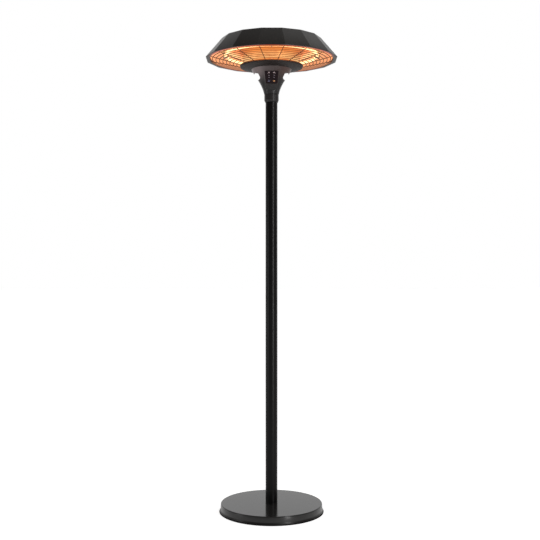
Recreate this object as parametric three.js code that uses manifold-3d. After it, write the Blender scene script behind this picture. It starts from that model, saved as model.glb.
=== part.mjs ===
// A free-standing electric patio heater tower: a weighted round base, a straight sectional pole, a
// flared neck that carries the control panel, and a sixteen-sided canopy over a glowing ring element.
// Millimetres, +Z up, origin on the floor at the pole's axis. The control panel faces -Y.
import * as THREE from "three";
import { mergeVertices } from "three/addons/utils/BufferGeometryUtils.js";
import Module from "manifold-3d";

const wasm = await Module();
wasm.setup();

// ---------------------------------------------------------------- fits shared by the whole tower
const CLEARANCE = 0.3; // radial, between pieces that slide into or over one another
const PIVOT_CLEARANCE = 0.15; // radial, round the tilt switch's axle

// ---------------------------------------------------------------- base
const BASE_HEIGHT = 38.5; // floor to the top of the cover
const BASE_TOP_RADIUS = 226;
const BASE_LIP_FLARE = 7; // how far the cover's side flares out to its bottom edge
const BASE_LIP_HEIGHT = 9.5;
const BASE_LIP_LIFT = 1.5; // floor to the cover's bottom edge
const BASE_EDGE_RADIUS = 3; // rounding between the cover's side and its top
const BASE_SHEET = 2;
const WEIGHT_GAP = 1; // between the weight and the cover's side
const BASE_PLATE_THICKNESS = 2;
const BASE_PLATE_LAP = 1; // under the cover's wall
const FLOOR_RING_HEIGHT = 3;
const FLOOR_RING_WIDTH = 17;
const FLOOR_RING_INSET = 3; // from the bottom plate's edge
const PLATE_SCREW_CIRCLE = 150;
const PLATE_SCREW_RADIUS = 2.2;
const PLATE_SCREW_HEAD_RADIUS = 5;
const PLATE_SCREW_HEAD_HEIGHT = 2;
const PLATE_SCREW_LENGTH = 12;

// ---------------------------------------------------------------- pole flange inside the base
const FLANGE_RADIUS = 60;
const FLANGE_THICKNESS = 6;
const SPIGOT_LENGTH = 70; // how far the flange's spigot reaches up into the pole
const SPIGOT_WALL = 3;
const FLANGE_BOLT_CIRCLE = 43;
const FLANGE_BOLT_RADIUS = 4;
const BOLT_HEAD_RADIUS = 7.2;
const BOLT_HEAD_HEIGHT = 5;

// ---------------------------------------------------------------- cable outlet at the back of the base
const CORD_RADIUS = 4; // the bore left for the mains cord
const GLAND_NECK_RADIUS = 8;
const GLAND_FLANGE_RADIUS = 10.2;
const GLAND_FLANGE_LENGTH = 5;
const GLAND_NOSE_RADIUS = 6.2;
const GLAND_NOSE_LENGTH = 9;
const GLAND_NUT_RADIUS = 10.5;
const GLAND_NUT_LENGTH = 6;
const GLAND_NUT_SETBACK = 2.9; // from the inside of the cover, so that the flat nut clears its curve
const GLAND_HEIGHT = 22; // floor to the outlet's axis
const GLAND_SEAT = 2; // outside of the cover's top radius, on its sloping side

// ---------------------------------------------------------------- pole
const POLE_RADIUS = 26.5;
const POLE_WALL = 1.5;
const LOWER_SECTION = 456;
const LONG_SECTION = 600; // the middle and the upper section
const HEAD_TUBE_LENGTH = 289.5; // from the top seam up through the neck
const JOINER_LENGTH = 110;
const JOINER_WALL = 2;

// ---------------------------------------------------------------- neck
const NECK_BELOW_TUBE = 14; // head tube's top to the neck's top
const COLLAR_HEIGHT = 33;
const COLLAR_RADIUS = 32;
const COLLAR_FOOT_RADIUS = 28.7;
const COLLAR_FOOT_HEIGHT = 8;
const COLLAR_SCREW_RADIUS = 2.5;
const COLLAR_SCREW_STANDOUT = 1.5;
const NECK_GAP = 1; // between the collar and the neck shells
const NECK_FOOT_RADIUS = 31; // the dark groove over the collar
const NECK_FOOT_HEIGHT = 2.5;
const NECK_HEIGHT = 111;
const NECK_WALL = 3;
const NECK_BOTTOM_RADIUS = 33;
const NECK_TOP_RADIUS = 89;
const NECK_SEAM = 0.3; // between the front and the rear shell
// the slot at each side of the neck runs between two circles; drops are from the neck's top
const NOTCH_UPPER = { radius: 10, offset: 67, drop: 23 };
const NOTCH_LOWER = { radius: 10, offset: 61, drop: 35 };
const NOTCH_RISE = 11; // degrees that the slots climb to the rear
const SHELL_SCREW_OFFSET = 36;
const SHELL_SCREW_HEIGHT = 40; // above the neck's bottom
const SHELL_SCREW_RADIUS = 1.9;
const SHELL_SCREW_HEAD_RADIUS = 3.4;
const SHELL_SCREW_HEAD_HEIGHT = 2.6;
const SHELL_SCREW_REACH = 16; // into the front shell
const SHELL_BOSS_RADIUS = 5;
const SHELL_BOSS_LENGTH = 24;

// ---------------------------------------------------------------- control panel on the neck's front
const PANEL_TILT = 28; // degrees from upright, leaning out at the top
const PANEL_DROP = 45.5; // from the neck's top down to the panel's centre
const PANEL_REACH = 65.4; // from the pole's axis forward to the panel's centre
const PANEL_LENGTH = 57;
const PANEL_TOP_WIDTH = 62;
const PANEL_BOTTOM_WIDTH = 50;
const PANEL_CORNER = 4;
const PANEL_THICKNESS = 2;
const PANEL_LEDGE = 4; // width of the step that the panel lies on
const SHIELD_MARGIN = 3; // the raised face round the panel
const SHIELD_TAIL = 30; // how far the raised face goes on below the panel
const SHIELD_DEPTH = 14;
const KEY_RADIUS = 6;
const KEY_SPACING = 23;
const KEY_DROP = 16.8; // from the panel's centre down to the keys
const KEY_STANDOUT = 0.5;
const KEY_FLANGE = 1.1; // wider and this thick behind the panel
const KEY_TRAVEL = 0.8;
const KEY_STEM_RADIUS = 1.5;
const BOARD_DEPTH = 9; // panel face to the circuit board's front
const BOARD_THICKNESS = 1.6;
const BOARD_MARGIN = 1.5; // inside the opening in the shell
const SWITCH_WIDTH = 6;
const SWITCH_HEIGHT = 3.5;
const PLUNGER_RADIUS = 1.7;
const PLUNGER_LENGTH = 2.6;
const DISPLAY_WIDTH = 36;
const DISPLAY_LENGTH = 18;
const DISPLAY_HEIGHT = 5;
const DISPLAY_RISE = 7; // above the panel's centre
const BOARD_SCREW_RADIUS = 1.2;
const BOARD_SCREW_HEAD_RADIUS = 2.3;
const BOARD_SCREW_HEAD_HEIGHT = 1.4;
const BOARD_SCREW_BITE = 5;
const STANDOFF_RADIUS = 2.6;

// ---------------------------------------------------------------- hub under the canopy
const HUB_COVER_RADIUS = 140;
const HUB_COVER_RISE = 9; // from the neck's top to the cover's rim
const HUB_RIM_HEIGHT = 6;
const HUB_SHEET = 2;
const HUB_PLATE_RADIUS = 110;
const HUB_PLATE_THICKNESS = 3;
const WIRE_HOLE_RADIUS = 14;
const POST_CIRCLE = 92;
const POST_RADIUS = 5;
const POST_FOOT_RADIUS = 8;
const POST_FOOT_HEIGHT = 9;
const POST_STUD_RADIUS = 2.5;

// ---------------------------------------------------------------- canopy
const CANOPY_SIDES = 16;
const CANOPY_RIM_RADIUS = 294; // over the corners
const CANOPY_TOP_RADIUS = 221; // over the corners
const CANOPY_SIDE_HEIGHT = 88;
const CANOPY_CROWN_RADIUS = 116;
const CANOPY_CROWN_RISE = 8; // the shallow slope that sheds rain
const CANOPY_SHEET = 2;
const CANOPY_MOUTH_RADIUS = 274; // the round opening in the rim's inward lip
const CANOPY_ABOVE_NECK = 44; // neck's top to the rim's underside
const CANOPY_SCREW_RADIUS = 2.5;
const CANOPY_SCREW_HEAD_RADIUS = 5.5;
const CANOPY_SCREW_HEAD_HEIGHT = 2.5;
const CANOPY_SCREW_BITE = 16;

// ---------------------------------------------------------------- heating ring and its guard
const REFLECTOR_SHEET = 1;
const REFLECTOR_FLANGE_INNER = 80;
const REFLECTOR_INNER_RADIUS = 125;
const REFLECTOR_OUTER_GAP = 5; // inside the canopy's mouth
const REFLECTOR_ROOF_INNER = 168;
const REFLECTOR_ROOF_OUTER = 242;
const REFLECTOR_DEPTH = 63; // flange to roof
const REFLECTOR_OUTER_DROP = 38; // roof to outer edge
const ELEMENT_RADIUS = 204;
const ELEMENT_BELOW_ROOF = 26;
const ELEMENT_TUBE_RADIUS = 6;
const ELEMENT_TUBE_WALL = 1.2;
const FILAMENT_RADIUS = 2.2;
const HOLDER_WIDTH = 20; // along the ring
const HOLDER_DEPTH = 22; // across the ring
const HOLDER_SOCKET = 7; // how far a tube's end goes in
const HOLDER_PLAY = 1.2; // radial, round a tube's end
const HOLDER_BELOW_TUBE = 5;
const CLIP_WIDTH = 6;
const CLIP_WALL = 1.6;
const GUARD_WIRE = 1.6; // radius of the guard's wires
const GUARD_RINGS = 10;
const GUARD_LAP = 4; // outermost ring over the canopy's lip
const GUARD_LIFT = 3; // centre of the outermost ring over the lip

// ---------------------------------------------------------------- wiring block and tip-over switch
const TERMINAL_WIDTH = 40;
const TERMINAL_DEPTH = 20;
const TERMINAL_HEIGHT = 16;
const TERMINAL_SETBACK = 46; // behind the pole's axis
const TERMINAL_HOLE_RADIUS = 2.2;
const TILT_OFFSET = 46; // from the pole's axis to the tip-over switch
const TILT_PIVOT_HEIGHT = 28; // hub plate to the pendulum's pivot
const TILT_GAP = 15; // between the bracket's two cheeks
const TILT_CHEEK = 2;
const TILT_BRACKET_WIDTH = 22;
const TILT_AXLE_RADIUS = 1.5;
const TILT_ARM = 16; // pivot to the middle of the bob
const TILT_BOB_RADIUS = 6;
const TILT_BOB_WIDTH = 9;

// ---------------------------------------------------------------- heights worked out from the above
const poleFoot = BASE_HEIGHT - BASE_SHEET;
const seamHeights = [0, 1, 2].map((i) => poleFoot + LOWER_SECTION + i * LONG_SECTION);
const headTubeTop = seamHeights[2] + HEAD_TUBE_LENGTH;
const neckTop = headTubeTop - NECK_BELOW_TUBE;
const neckFoot = neckTop - NECK_HEIGHT;
const collarFoot = neckFoot - NECK_GAP - COLLAR_HEIGHT;
const canopyRim = neckTop + CANOPY_ABOVE_NECK;
const hubPlateTop = headTubeTop + HUB_PLATE_THICKNESS;
const reflectorFlange = hubPlateTop + POST_FOOT_HEIGHT;
const reflectorRoof = reflectorFlange + REFLECTOR_DEPTH;
const elementHeight = reflectorRoof - ELEMENT_BELOW_ROOF;
const canopyCrown = canopyRim + CANOPY_SIDE_HEIGHT + CANOPY_CROWN_RISE;
const poleBore = POLE_RADIUS - POLE_WALL;

// ---------------------------------------------------------------- finishes
const finish = (color, roughness, metalness) =>
  new THREE.MeshStandardMaterial({ color, roughness, metalness });
const BLACK_ENAMEL = finish(0x1d1c1b, 0.4, 0.2);
const BLACK_PAINT = finish(0x161414, 0.35, 0.3);
const GREY_PLASTIC = finish(0x4a4948, 0.55, 0);
const DARK_DISC = finish(0x2a2a2b, 0.6, 0.2);
const PANEL_GLOSS = finish(0x120c0d, 0.12, 0);
const KEY_GLOSS = finish(0x1a1518, 0.15, 0);
const ZINC = finish(0xa8abad, 0.4, 0.9);
const POLISHED = finish(0xd8d2c8, 0.2, 1);
const GUARD_STEEL = finish(0x6b5a4c, 0.4, 0.9);
const GLOWING_GLASS = finish(0xffa860, 0.2, 0);
const HOT_WIRE = finish(0xffd9a0, 0.5, 0);
const CERAMIC = finish(0xe4dccb, 0.7, 0);
const CONCRETE = finish(0x8c8a86, 0.9, 0);
const RUBBER = finish(0x1b1b1b, 0.9, 0);
const BOARD_GREEN = finish(0x1f5a35, 0.5, 0);
const SWITCH_BLACK = finish(0x202022, 0.5, 0);

// ---------------------------------------------------------------- solids
/** A closed geometry as a solid, turned right side out. */
function solid(geometry) {
  const bare = geometry.clone();
  bare.deleteAttribute("normal");
  bare.deleteAttribute("uv");
  const merged = mergeVertices(bare, 1e-3);
  const corners = merged.index.array;
  const kept = [];
  for (let i = 0; i < corners.length; i += 3) {
    const [a, b, c] = corners.subarray(i, i + 3);
    if (a !== b && b !== c && a !== c) kept.push(a, b, c);
  }
  const build = (triVerts) =>
    new wasm.Manifold(
      new wasm.Mesh({
        numProp: 3,
        vertProperties: merged.attributes.position.array,
        triVerts: new Uint32Array(triVerts),
      }),
    );
  const made = build(kept);
  return made.volume() < 0 ? build(kept.reverse()) : made;
}

/** A solid as a geometry with flat faces. */
function geometryOf(made) {
  const mesh = made.getMesh();
  const positions = new Float32Array(mesh.numVert * 3);
  for (let i = 0; i < mesh.numVert; i++) {
    positions.set(mesh.vertProperties.subarray(i * mesh.numProp, i * mesh.numProp + 3), i * 3);
  }
  const geometry = new THREE.BufferGeometry();
  geometry.setAttribute("position", new THREE.BufferAttribute(positions, 3));
  geometry.setIndex(new THREE.BufferAttribute(mesh.triVerts, 1));
  const flat = geometry.toNonIndexed();
  flat.computeVertexNormals();
  return flat;
}

const join = (...solids) => solids.reduce((whole, next) => whole.add(next));
const cut = (body, ...tools) => tools.reduce((left, tool) => left.subtract(tool), body);

/** A solid of revolution about Z; points are [radius, height] round a closed outline. */
function revolve(points, segments = 40, phase = 0) {
  const outline = [...points, points[0]].map(([r, z]) => new THREE.Vector2(Math.max(r, 0), z));
  return solid(new THREE.LatheGeometry(outline, segments, phase).rotateX(Math.PI / 2));
}

/** A plain round bar along Z from low to high, with an optional bore. */
function bar(radius, low, high, { bore = 0, segments = 16, x = 0, y = 0 } = {}) {
  const outline = [[bore, low], [radius, low], [radius, high], [bore, high]];
  return revolve(outline, segments).translate([x, y, 0]);
}

/** A round bar along Y from front to back at x, z. */
function crossBar(radius, front, back, x, z, { bore = 0, segments = 16 } = {}) {
  return bar(radius, -back, -front, { bore, segments }).rotate([90, 0, 0]).translate([x, 0, z]);
}

/** A box that spans the given ranges. */
function block([x0, x1], [y0, y1], [z0, z1]) {
  const geometry = new THREE.BoxGeometry(x1 - x0, y1 - y0, z1 - z0);
  return solid(geometry.translate((x0 + x1) / 2, (y0 + y1) / 2, (z0 + z1) / 2));
}

/** A flat outline extruded along Z from low to high. */
function plate(shape, low, high, curveSegments = 5) {
  const options = { depth: high - low, bevelEnabled: false, curveSegments };
  return solid(new THREE.ExtrudeGeometry(shape, options).translate(0, 0, low));
}

/** The closed outline of a bent sheet: the given side, and the same side offset by the thickness. */
function sheet(points, thickness) {
  const path = points.map(([r, z]) => new THREE.Vector2(r, z));
  const sides = path.slice(1).map((p, i) => p.clone().sub(path[i]).normalize());
  const inner = path.map((p, i) => {
    const before = sides[Math.max(i - 1, 0)];
    const after = sides[Math.min(i, sides.length - 1)];
    const bend = before.clone().add(after).normalize();
    const normal = new THREE.Vector2(-bend.y, bend.x);
    const stretch = normal.dot(new THREE.Vector2(-after.y, after.x));
    return p.clone().addScaledVector(normal, thickness / stretch);
  });
  return [...points, ...inner.reverse().map((p) => [p.x, p.y])];
}

/** Points on a quarter round from one direction to another, in degrees. */
function arc(centreR, centreZ, radius, from, to, steps) {
  return Array.from({ length: steps + 1 }, (_, i) => {
    const angle = THREE.MathUtils.degToRad(from + ((to - from) * i) / steps);
    return [centreR + radius * Math.cos(angle), centreZ + radius * Math.sin(angle)];
  });
}

/** A level arc round the pole's axis, for tubes that follow the heating ring. */
class LevelArc extends THREE.Curve {
  constructor(radius, from, to) {
    super();
    Object.assign(this, { radius, from, to });
  }

  getPoint(t, target = new THREE.Vector3()) {
    const angle = this.from + (this.to - this.from) * t;
    return target.set(this.radius * Math.cos(angle), this.radius * Math.sin(angle), 0);
  }
}

/** A round bar swept along a path. */
function sweep(path, radius, sides, steps) {
  const section = Array.from({ length: sides }, (_, i) => {
    const angle = (2 * Math.PI * i) / sides;
    return new THREE.Vector2(radius * Math.cos(angle), radius * Math.sin(angle));
  });
  const options = { steps, extrudePath: path, bevelEnabled: false };
  return solid(new THREE.ExtrudeGeometry(new THREE.Shape(section), options));
}

const HEX = { segments: 6 };
const radians = THREE.MathUtils.degToRad;
const around = (radius, degrees) => ({
  x: radius * Math.cos(radians(degrees)),
  y: radius * Math.sin(radians(degrees)),
});

/** Adds one named piece to a group. */
function addPiece(group, name, made, material, place = {}) {
  const mesh = new THREE.Mesh(geometryOf(made), material);
  mesh.name = name;
  mesh.position.set(place.x ?? 0, place.y ?? 0, place.z ?? 0);
  mesh.rotation.z = radians(place.turn ?? 0);
  group.add(mesh);
  return mesh;
}

// ---------------------------------------------------------------- base
const plateScrewSpots = [30, 150, 270].map((angle) => around(PLATE_SCREW_CIRCLE, angle));
const flangeBoltSpots = [90, 210, 330].map((angle) => around(FLANGE_BOLT_CIRCLE, angle));
const weightRadius = BASE_TOP_RADIUS - BASE_SHEET - WEIGHT_GAP;
const plateTop = FLOOR_RING_HEIGHT + BASE_PLATE_THICKNESS;
const plateRadius = BASE_TOP_RADIUS - BASE_SHEET + BASE_PLATE_LAP;
const lipRadius = BASE_TOP_RADIUS + BASE_LIP_FLARE;
const flangeFoot = poleFoot - FLANGE_THICKNESS;
const boltSeat = flangeFoot - 20;
const glandSeat = BASE_TOP_RADIUS + GLAND_SEAT;

function baseCover() {
  const side = [
    [lipRadius, BASE_LIP_LIFT],
    [lipRadius - 0.05 * BASE_LIP_FLARE, BASE_LIP_LIFT + 0.17 * BASE_LIP_HEIGHT],
    [BASE_TOP_RADIUS + 0.48 * BASE_LIP_FLARE, BASE_LIP_LIFT + 0.5 * BASE_LIP_HEIGHT],
    [BASE_TOP_RADIUS + 0.23 * BASE_LIP_FLARE, BASE_LIP_LIFT + BASE_LIP_HEIGHT],
  ];
  const edgeCentre = [BASE_TOP_RADIUS - BASE_EDGE_RADIUS, BASE_HEIGHT - BASE_EDGE_RADIUS];
  const edge = arc(...edgeCentre, BASE_EDGE_RADIUS, 0, 90, 2);
  const top = [POLE_RADIUS + CLEARANCE, BASE_HEIGHT];
  const shell = revolve(sheet([...side, ...edge, top], BASE_SHEET), 40);
  const outlet = crossBar(GLAND_NECK_RADIUS + CLEARANCE, 0.8 * BASE_TOP_RADIUS, lipRadius, 0, GLAND_HEIGHT);
  return cut(shell, outlet);
}

function baseWeight() {
  const bore = poleBore - SPIGOT_WALL;
  const body = revolve([
    [bore, plateTop],
    [weightRadius, plateTop],
    [weightRadius, poleFoot - BASE_EDGE_RADIUS],
    [weightRadius - BASE_EDGE_RADIUS, poleFoot],
    [bore, poleFoot],
  ], 32);
  const flangeSeat = bar(FLANGE_RADIUS + CLEARANCE, flangeFoot, poleFoot + 1, { segments: 40 });
  const cordChannel = block(
    [-CORD_RADIUS - 2, CORD_RADIUS + 2],
    [0, weightRadius + 1],
    [plateTop - 1, GLAND_HEIGHT + CORD_RADIUS + 2],
  );
  const pocketFront = weightRadius - GLAND_NUT_LENGTH - 6;
  const nutPocket = crossBar(GLAND_NUT_RADIUS + 1, pocketFront, weightRadius + 1, 0, GLAND_HEIGHT);
  const boltHoles = flangeBoltSpots.flatMap((spot) => [
    bar(FLANGE_BOLT_RADIUS + CLEARANCE, plateTop - 1, poleFoot, { segments: 10, ...spot }),
    bar(BOLT_HEAD_RADIUS + 1, plateTop - 1, boltSeat, { segments: 10, ...spot }),
  ]);
  const screwReach = plateTop + PLATE_SCREW_LENGTH;
  const screwHoles = plateScrewSpots.map((spot) =>
    bar(PLATE_SCREW_RADIUS + CLEARANCE, plateTop - 1, screwReach, { segments: 10, ...spot }),
  );
  return cut(body, flangeSeat, cordChannel, nutPocket, ...boltHoles, ...screwHoles);
}

function basePlate() {
  const disc = bar(plateRadius, FLOOR_RING_HEIGHT, plateTop, { segments: 32 });
  const holes = plateScrewSpots.map((spot) =>
    bar(PLATE_SCREW_RADIUS + CLEARANCE, 0, plateTop + 1, { segments: 10, ...spot }),
  );
  return cut(disc, ...holes);
}

function floorRing() {
  const outer = plateRadius - FLOOR_RING_INSET;
  return bar(outer, 0, FLOOR_RING_HEIGHT, { bore: outer - FLOOR_RING_WIDTH, segments: 32 });
}

function poleFlange() {
  const spigotRadius = poleBore - CLEARANCE;
  const bore = spigotRadius - SPIGOT_WALL;
  const body = revolve(
    [
      [bore, flangeFoot],
      [FLANGE_RADIUS, flangeFoot],
      [FLANGE_RADIUS, poleFoot],
      [spigotRadius, poleFoot],
      [spigotRadius, poleFoot + SPIGOT_LENGTH],
      [bore, poleFoot + SPIGOT_LENGTH],
    ],
    28,
  );
  const holes = flangeBoltSpots.map((spot) =>
    bar(FLANGE_BOLT_RADIUS + CLEARANCE, flangeFoot - 1, poleFoot + 1, { segments: 10, ...spot }),
  );
  return cut(body, ...holes);
}

function flangeBolt() {
  const head = bar(BOLT_HEAD_RADIUS, boltSeat - BOLT_HEAD_HEIGHT, boltSeat, HEX);
  const shank = bar(FLANGE_BOLT_RADIUS, boltSeat - 1, poleFoot - 1, { segments: 10 });
  return join(head, shank);
}

function plateScrew() {
  const head = bar(PLATE_SCREW_HEAD_RADIUS, FLOOR_RING_HEIGHT - PLATE_SCREW_HEAD_HEIGHT, FLOOR_RING_HEIGHT);
  const tip = plateTop + PLATE_SCREW_LENGTH - 1;
  const shank = bar(PLATE_SCREW_RADIUS, FLOOR_RING_HEIGHT - 1, tip, { segments: 10 });
  return join(head, shank);
}

/** The outlet's body along its own Z, which points out of the base; its flange sits on Z = 0. */
function cableGland() {
  const inside = BASE_SHEET + GLAND_NUT_LENGTH + 4;
  return revolve([
    [CORD_RADIUS, -inside],
    [GLAND_NECK_RADIUS, -inside],
    [GLAND_NECK_RADIUS, 0],
    [GLAND_FLANGE_RADIUS, 0],
    [GLAND_FLANGE_RADIUS, GLAND_FLANGE_LENGTH - 1],
    [GLAND_FLANGE_RADIUS - 1, GLAND_FLANGE_LENGTH],
    [GLAND_NOSE_RADIUS + 1, GLAND_FLANGE_LENGTH],
    [GLAND_NOSE_RADIUS, GLAND_FLANGE_LENGTH + GLAND_NOSE_LENGTH],
    [CORD_RADIUS, GLAND_FLANGE_LENGTH + GLAND_NOSE_LENGTH],
  ], 16);
}

function glandNut() {
  const low = -BASE_SHEET - GLAND_NUT_SETBACK - GLAND_NUT_LENGTH;
  const bore = GLAND_NECK_RADIUS + CLEARANCE;
  return bar(GLAND_NUT_RADIUS, low, low + GLAND_NUT_LENGTH, { bore, segments: 16 });
}

function buildBase() {
  const base = new THREE.Group();
  addPiece(base, "base_cover", baseCover(), BLACK_PAINT);
  addPiece(base, "base_weight", baseWeight(), CONCRETE);
  addPiece(base, "base_bottom_plate", basePlate(), BLACK_PAINT);
  addPiece(base, "floor_ring", floorRing(), RUBBER);
  addPiece(base, "pole_flange", poleFlange(), ZINC);
  flangeBoltSpots.forEach((spot, i) => {
    addPiece(base, `flange_bolt_${i + 1}`, flangeBolt(), ZINC, spot);
  });
  plateScrewSpots.forEach((spot, i) => {
    addPiece(base, `base_plate_screw_${i + 1}`, plateScrew(), ZINC, spot);
  });

  const outlet = new THREE.Group();
  outlet.position.set(0, glandSeat, GLAND_HEIGHT);
  outlet.rotation.x = -Math.PI / 2;
  addPiece(outlet, "cable_gland", cableGland(), RUBBER);
  addPiece(outlet, "gland_nut", glandNut(), GREY_PLASTIC);
  base.add(outlet);
  return base;
}

// ---------------------------------------------------------------- pole
function buildPole() {
  const pole = new THREE.Group();
  const tube = (length) => bar(POLE_RADIUS, 0, length, { bore: poleBore, segments: 28 });
  const [lowSeam, middleSeam, topSeam] = seamHeights;
  addPiece(pole, "pole_lower", tube(LOWER_SECTION), BLACK_ENAMEL, { z: poleFoot });
  addPiece(pole, "pole_middle", tube(LONG_SECTION), BLACK_ENAMEL, { z: lowSeam });
  addPiece(pole, "pole_upper", tube(LONG_SECTION), BLACK_ENAMEL, { z: middleSeam });
  addPiece(pole, "head_tube", tube(HEAD_TUBE_LENGTH), BLACK_ENAMEL, { z: topSeam });
  const joinerRadius = poleBore - CLEARANCE;
  const joiner = bar(joinerRadius, -JOINER_LENGTH / 2, JOINER_LENGTH / 2, {
    bore: joinerRadius - JOINER_WALL,
    segments: 20,
  });
  seamHeights.forEach((z, i) => addPiece(pole, `pole_joiner_${i + 1}`, joiner, ZINC, { z }));
  return pole;
}

// ---------------------------------------------------------------- neck
// The neck is built with Z = 0 at its foot.
const panelFrame = new THREE.Matrix4()
  .makeRotationX(radians(90 + PANEL_TILT))
  .setPosition(0, -PANEL_REACH, NECK_HEIGHT - PANEL_DROP);

/** Moves a solid from the panel's frame (X across, Y up the slope, Z out of the face) to the neck's. */
const fromPanel = (made) => made.transform(panelFrame.elements);

/** The neck's outer outline: a flare that opens like a bell. */
function neckOutline() {
  const flare = new THREE.SplineCurve([
    new THREE.Vector2(NECK_BOTTOM_RADIUS, NECK_FOOT_HEIGHT),
    new THREE.Vector2(NECK_BOTTOM_RADIUS + 5.4, 0.2 * NECK_HEIGHT),
    new THREE.Vector2(NECK_BOTTOM_RADIUS + 19.4, 0.475 * NECK_HEIGHT),
    new THREE.Vector2(NECK_TOP_RADIUS - 11.5, 0.82 * NECK_HEIGHT),
    new THREE.Vector2(NECK_TOP_RADIUS, NECK_HEIGHT),
  ]);
  return flare.getPoints(8).map((p) => [p.x, p.y]);
}

/** The rounded trapezoid of the panel, grown by a margin, with an optional tail below it. */
function panelShape(margin, tail = 0) {
  const half = PANEL_LENGTH / 2;
  const top = PANEL_TOP_WIDTH / 2 + margin;
  const bottom = PANEL_BOTTOM_WIDTH / 2 + margin;
  const high = half + margin;
  const low = -half - margin;
  const r = Math.max(PANEL_CORNER + margin, 1);
  const shape = new THREE.Shape();
  shape.moveTo(-top + r, high);
  shape.quadraticCurveTo(-top, high, -top + 0.1 * r, high - r);
  if (tail) {
    shape.lineTo(-bottom, low);
    shape.quadraticCurveTo(-bottom + 4, low - tail + margin, 0, low - tail + margin);
    shape.quadraticCurveTo(bottom - 4, low - tail + margin, bottom, low);
  } else {
    shape.lineTo(-bottom - 0.1 * r, low + r);
    shape.quadraticCurveTo(-bottom, low, -bottom + r, low);
    shape.lineTo(bottom - r, low);
    shape.quadraticCurveTo(bottom, low, bottom + 0.1 * r, low + r);
  }
  shape.lineTo(top - 0.1 * r, high - r);
  shape.quadraticCurveTo(top, high, top - r, high);
  shape.closePath();
  return shape;
}

/** The slot at each side of the neck, grown by a margin. */
function notches(grow) {
  const middle = (NOTCH_UPPER.drop + NOTCH_LOWER.drop) / 2;
  const reach = NECK_TOP_RADIUS;
  const end = (side, { radius, offset, drop }) =>
    crossBar(radius + grow, -reach, reach, side * offset, middle - drop, { segments: 20 });
  return [-1, 1].map((side) =>
    wasm.Manifold.hull([end(side, NOTCH_UPPER), end(side, NOTCH_LOWER)])
      .rotate([NOTCH_RISE, 0, 0])
      .translate([0, 0, NECK_HEIGHT - middle]));
}

/** Both neck shells as one body, before they are parted. */
function neckBody() {
  const outline = neckOutline();
  const foot = [[0, 0], [NECK_FOOT_RADIUS, 0], [NECK_FOOT_RADIUS, NECK_FOOT_HEIGHT]];
  const outside = revolve([...foot, ...outline, [0, NECK_HEIGHT]], 32);
  const inner = outline.map(([r, z]) => [r - NECK_WALL, z]);
  const [firstInner] = inner;
  const floor = NECK_FOOT_HEIGHT + NECK_WALL;
  const mouth = [[inner.at(-1)[0], NECK_HEIGHT + 1], [0, NECK_HEIGHT + 1]];
  const hollow = revolve([[0, floor], [firstInner[0], floor], ...inner.slice(1), ...mouth], 32);
  const height = [-1, NECK_HEIGHT];
  const reach = [-NECK_TOP_RADIUS - 20, NECK_TOP_RADIUS + 20];
  const shield = fromPanel(plate(panelShape(SHIELD_MARGIN, SHIELD_TAIL), -SHIELD_DEPTH, 0))
    .add(fromPanel(plate(panelShape(SHIELD_MARGIN), -SHIELD_DEPTH, 0)))
    .intersect(block(reach, reach, height));
  const cavity = cut(hollow, ...notches(NECK_WALL));
  const bossReach = SHELL_BOSS_LENGTH;
  const bosses = [-1, 1].map((side) =>
    crossBar(SHELL_BOSS_RADIUS, -bossReach, bossReach, side * SHELL_SCREW_OFFSET, SHELL_SCREW_HEIGHT)
      .intersect(outside));
  const pocket = fromPanel(plate(panelShape(CLEARANCE), -PANEL_THICKNESS - CLEARANCE, 1));
  const opening = fromPanel(plate(panelShape(-PANEL_LEDGE), -SHIELD_DEPTH - 8, 0));
  const tubeHole = bar(POLE_RADIUS + CLEARANCE, -1, NECK_HEIGHT + 1, { segments: 28 });
  const shell = cut(join(cut(outside, ...notches(0)), shield), cavity, pocket);
  return cut(join(shell, ...bosses), opening, tubeHole);
}

const screwHeadSeat = 13; // where the shell screws' heads lie, behind the seam

function shellScrewHoles() {
  return [-1, 1].flatMap((side) => {
    const x = side * SHELL_SCREW_OFFSET;
    const shank = SHELL_SCREW_RADIUS + CLEARANCE;
    const head = SHELL_SCREW_HEAD_RADIUS + CLEARANCE;
    const tip = -SHELL_SCREW_REACH - 1;
    return [
      crossBar(shank, tip, screwHeadSeat + 1, x, SHELL_SCREW_HEIGHT, { segments: 12 }),
      crossBar(head, screwHeadSeat, NECK_TOP_RADIUS, x, SHELL_SCREW_HEIGHT, { segments: 16 }),
    ];
  });
}

/** One half of the neck: side is -1 for the front and 1 for the rear. */
function neckShell(body, side) {
  const far = NECK_TOP_RADIUS + 20;
  const span = side < 0 ? [-far, -NECK_SEAM / 2] : [NECK_SEAM / 2, far];
  return body.intersect(block([-far, far], span, [-1, NECK_HEIGHT + 1]));
}

function shellScrew() {
  const headTop = screwHeadSeat + SHELL_SCREW_HEAD_HEIGHT;
  const head = crossBar(SHELL_SCREW_HEAD_RADIUS, screwHeadSeat, headTop, 0, 0, { segments: 16 });
  const shank = crossBar(SHELL_SCREW_RADIUS, -SHELL_SCREW_REACH, screwHeadSeat + 1, 0, 0, { segments: 12 });
  return join(head, shank);
}

function collar() {
  const bore = POLE_RADIUS + CLEARANCE;
  const body = revolve([
    [bore, 0],
    [COLLAR_FOOT_RADIUS, 0],
    [COLLAR_RADIUS - 1, COLLAR_FOOT_HEIGHT * 0.55],
    [COLLAR_RADIUS, COLLAR_FOOT_HEIGHT],
    [COLLAR_RADIUS, COLLAR_HEIGHT - 0.8],
    [COLLAR_RADIUS - 0.8, COLLAR_HEIGHT],
    [bore, COLLAR_HEIGHT],
  ], 28);
  const screwBore = COLLAR_SCREW_RADIUS + CLEARANCE;
  return cut(body, crossBar(screwBore, 0, COLLAR_RADIUS + 1, 0, COLLAR_HEIGHT / 2, { segments: 14 }));
}

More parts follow.
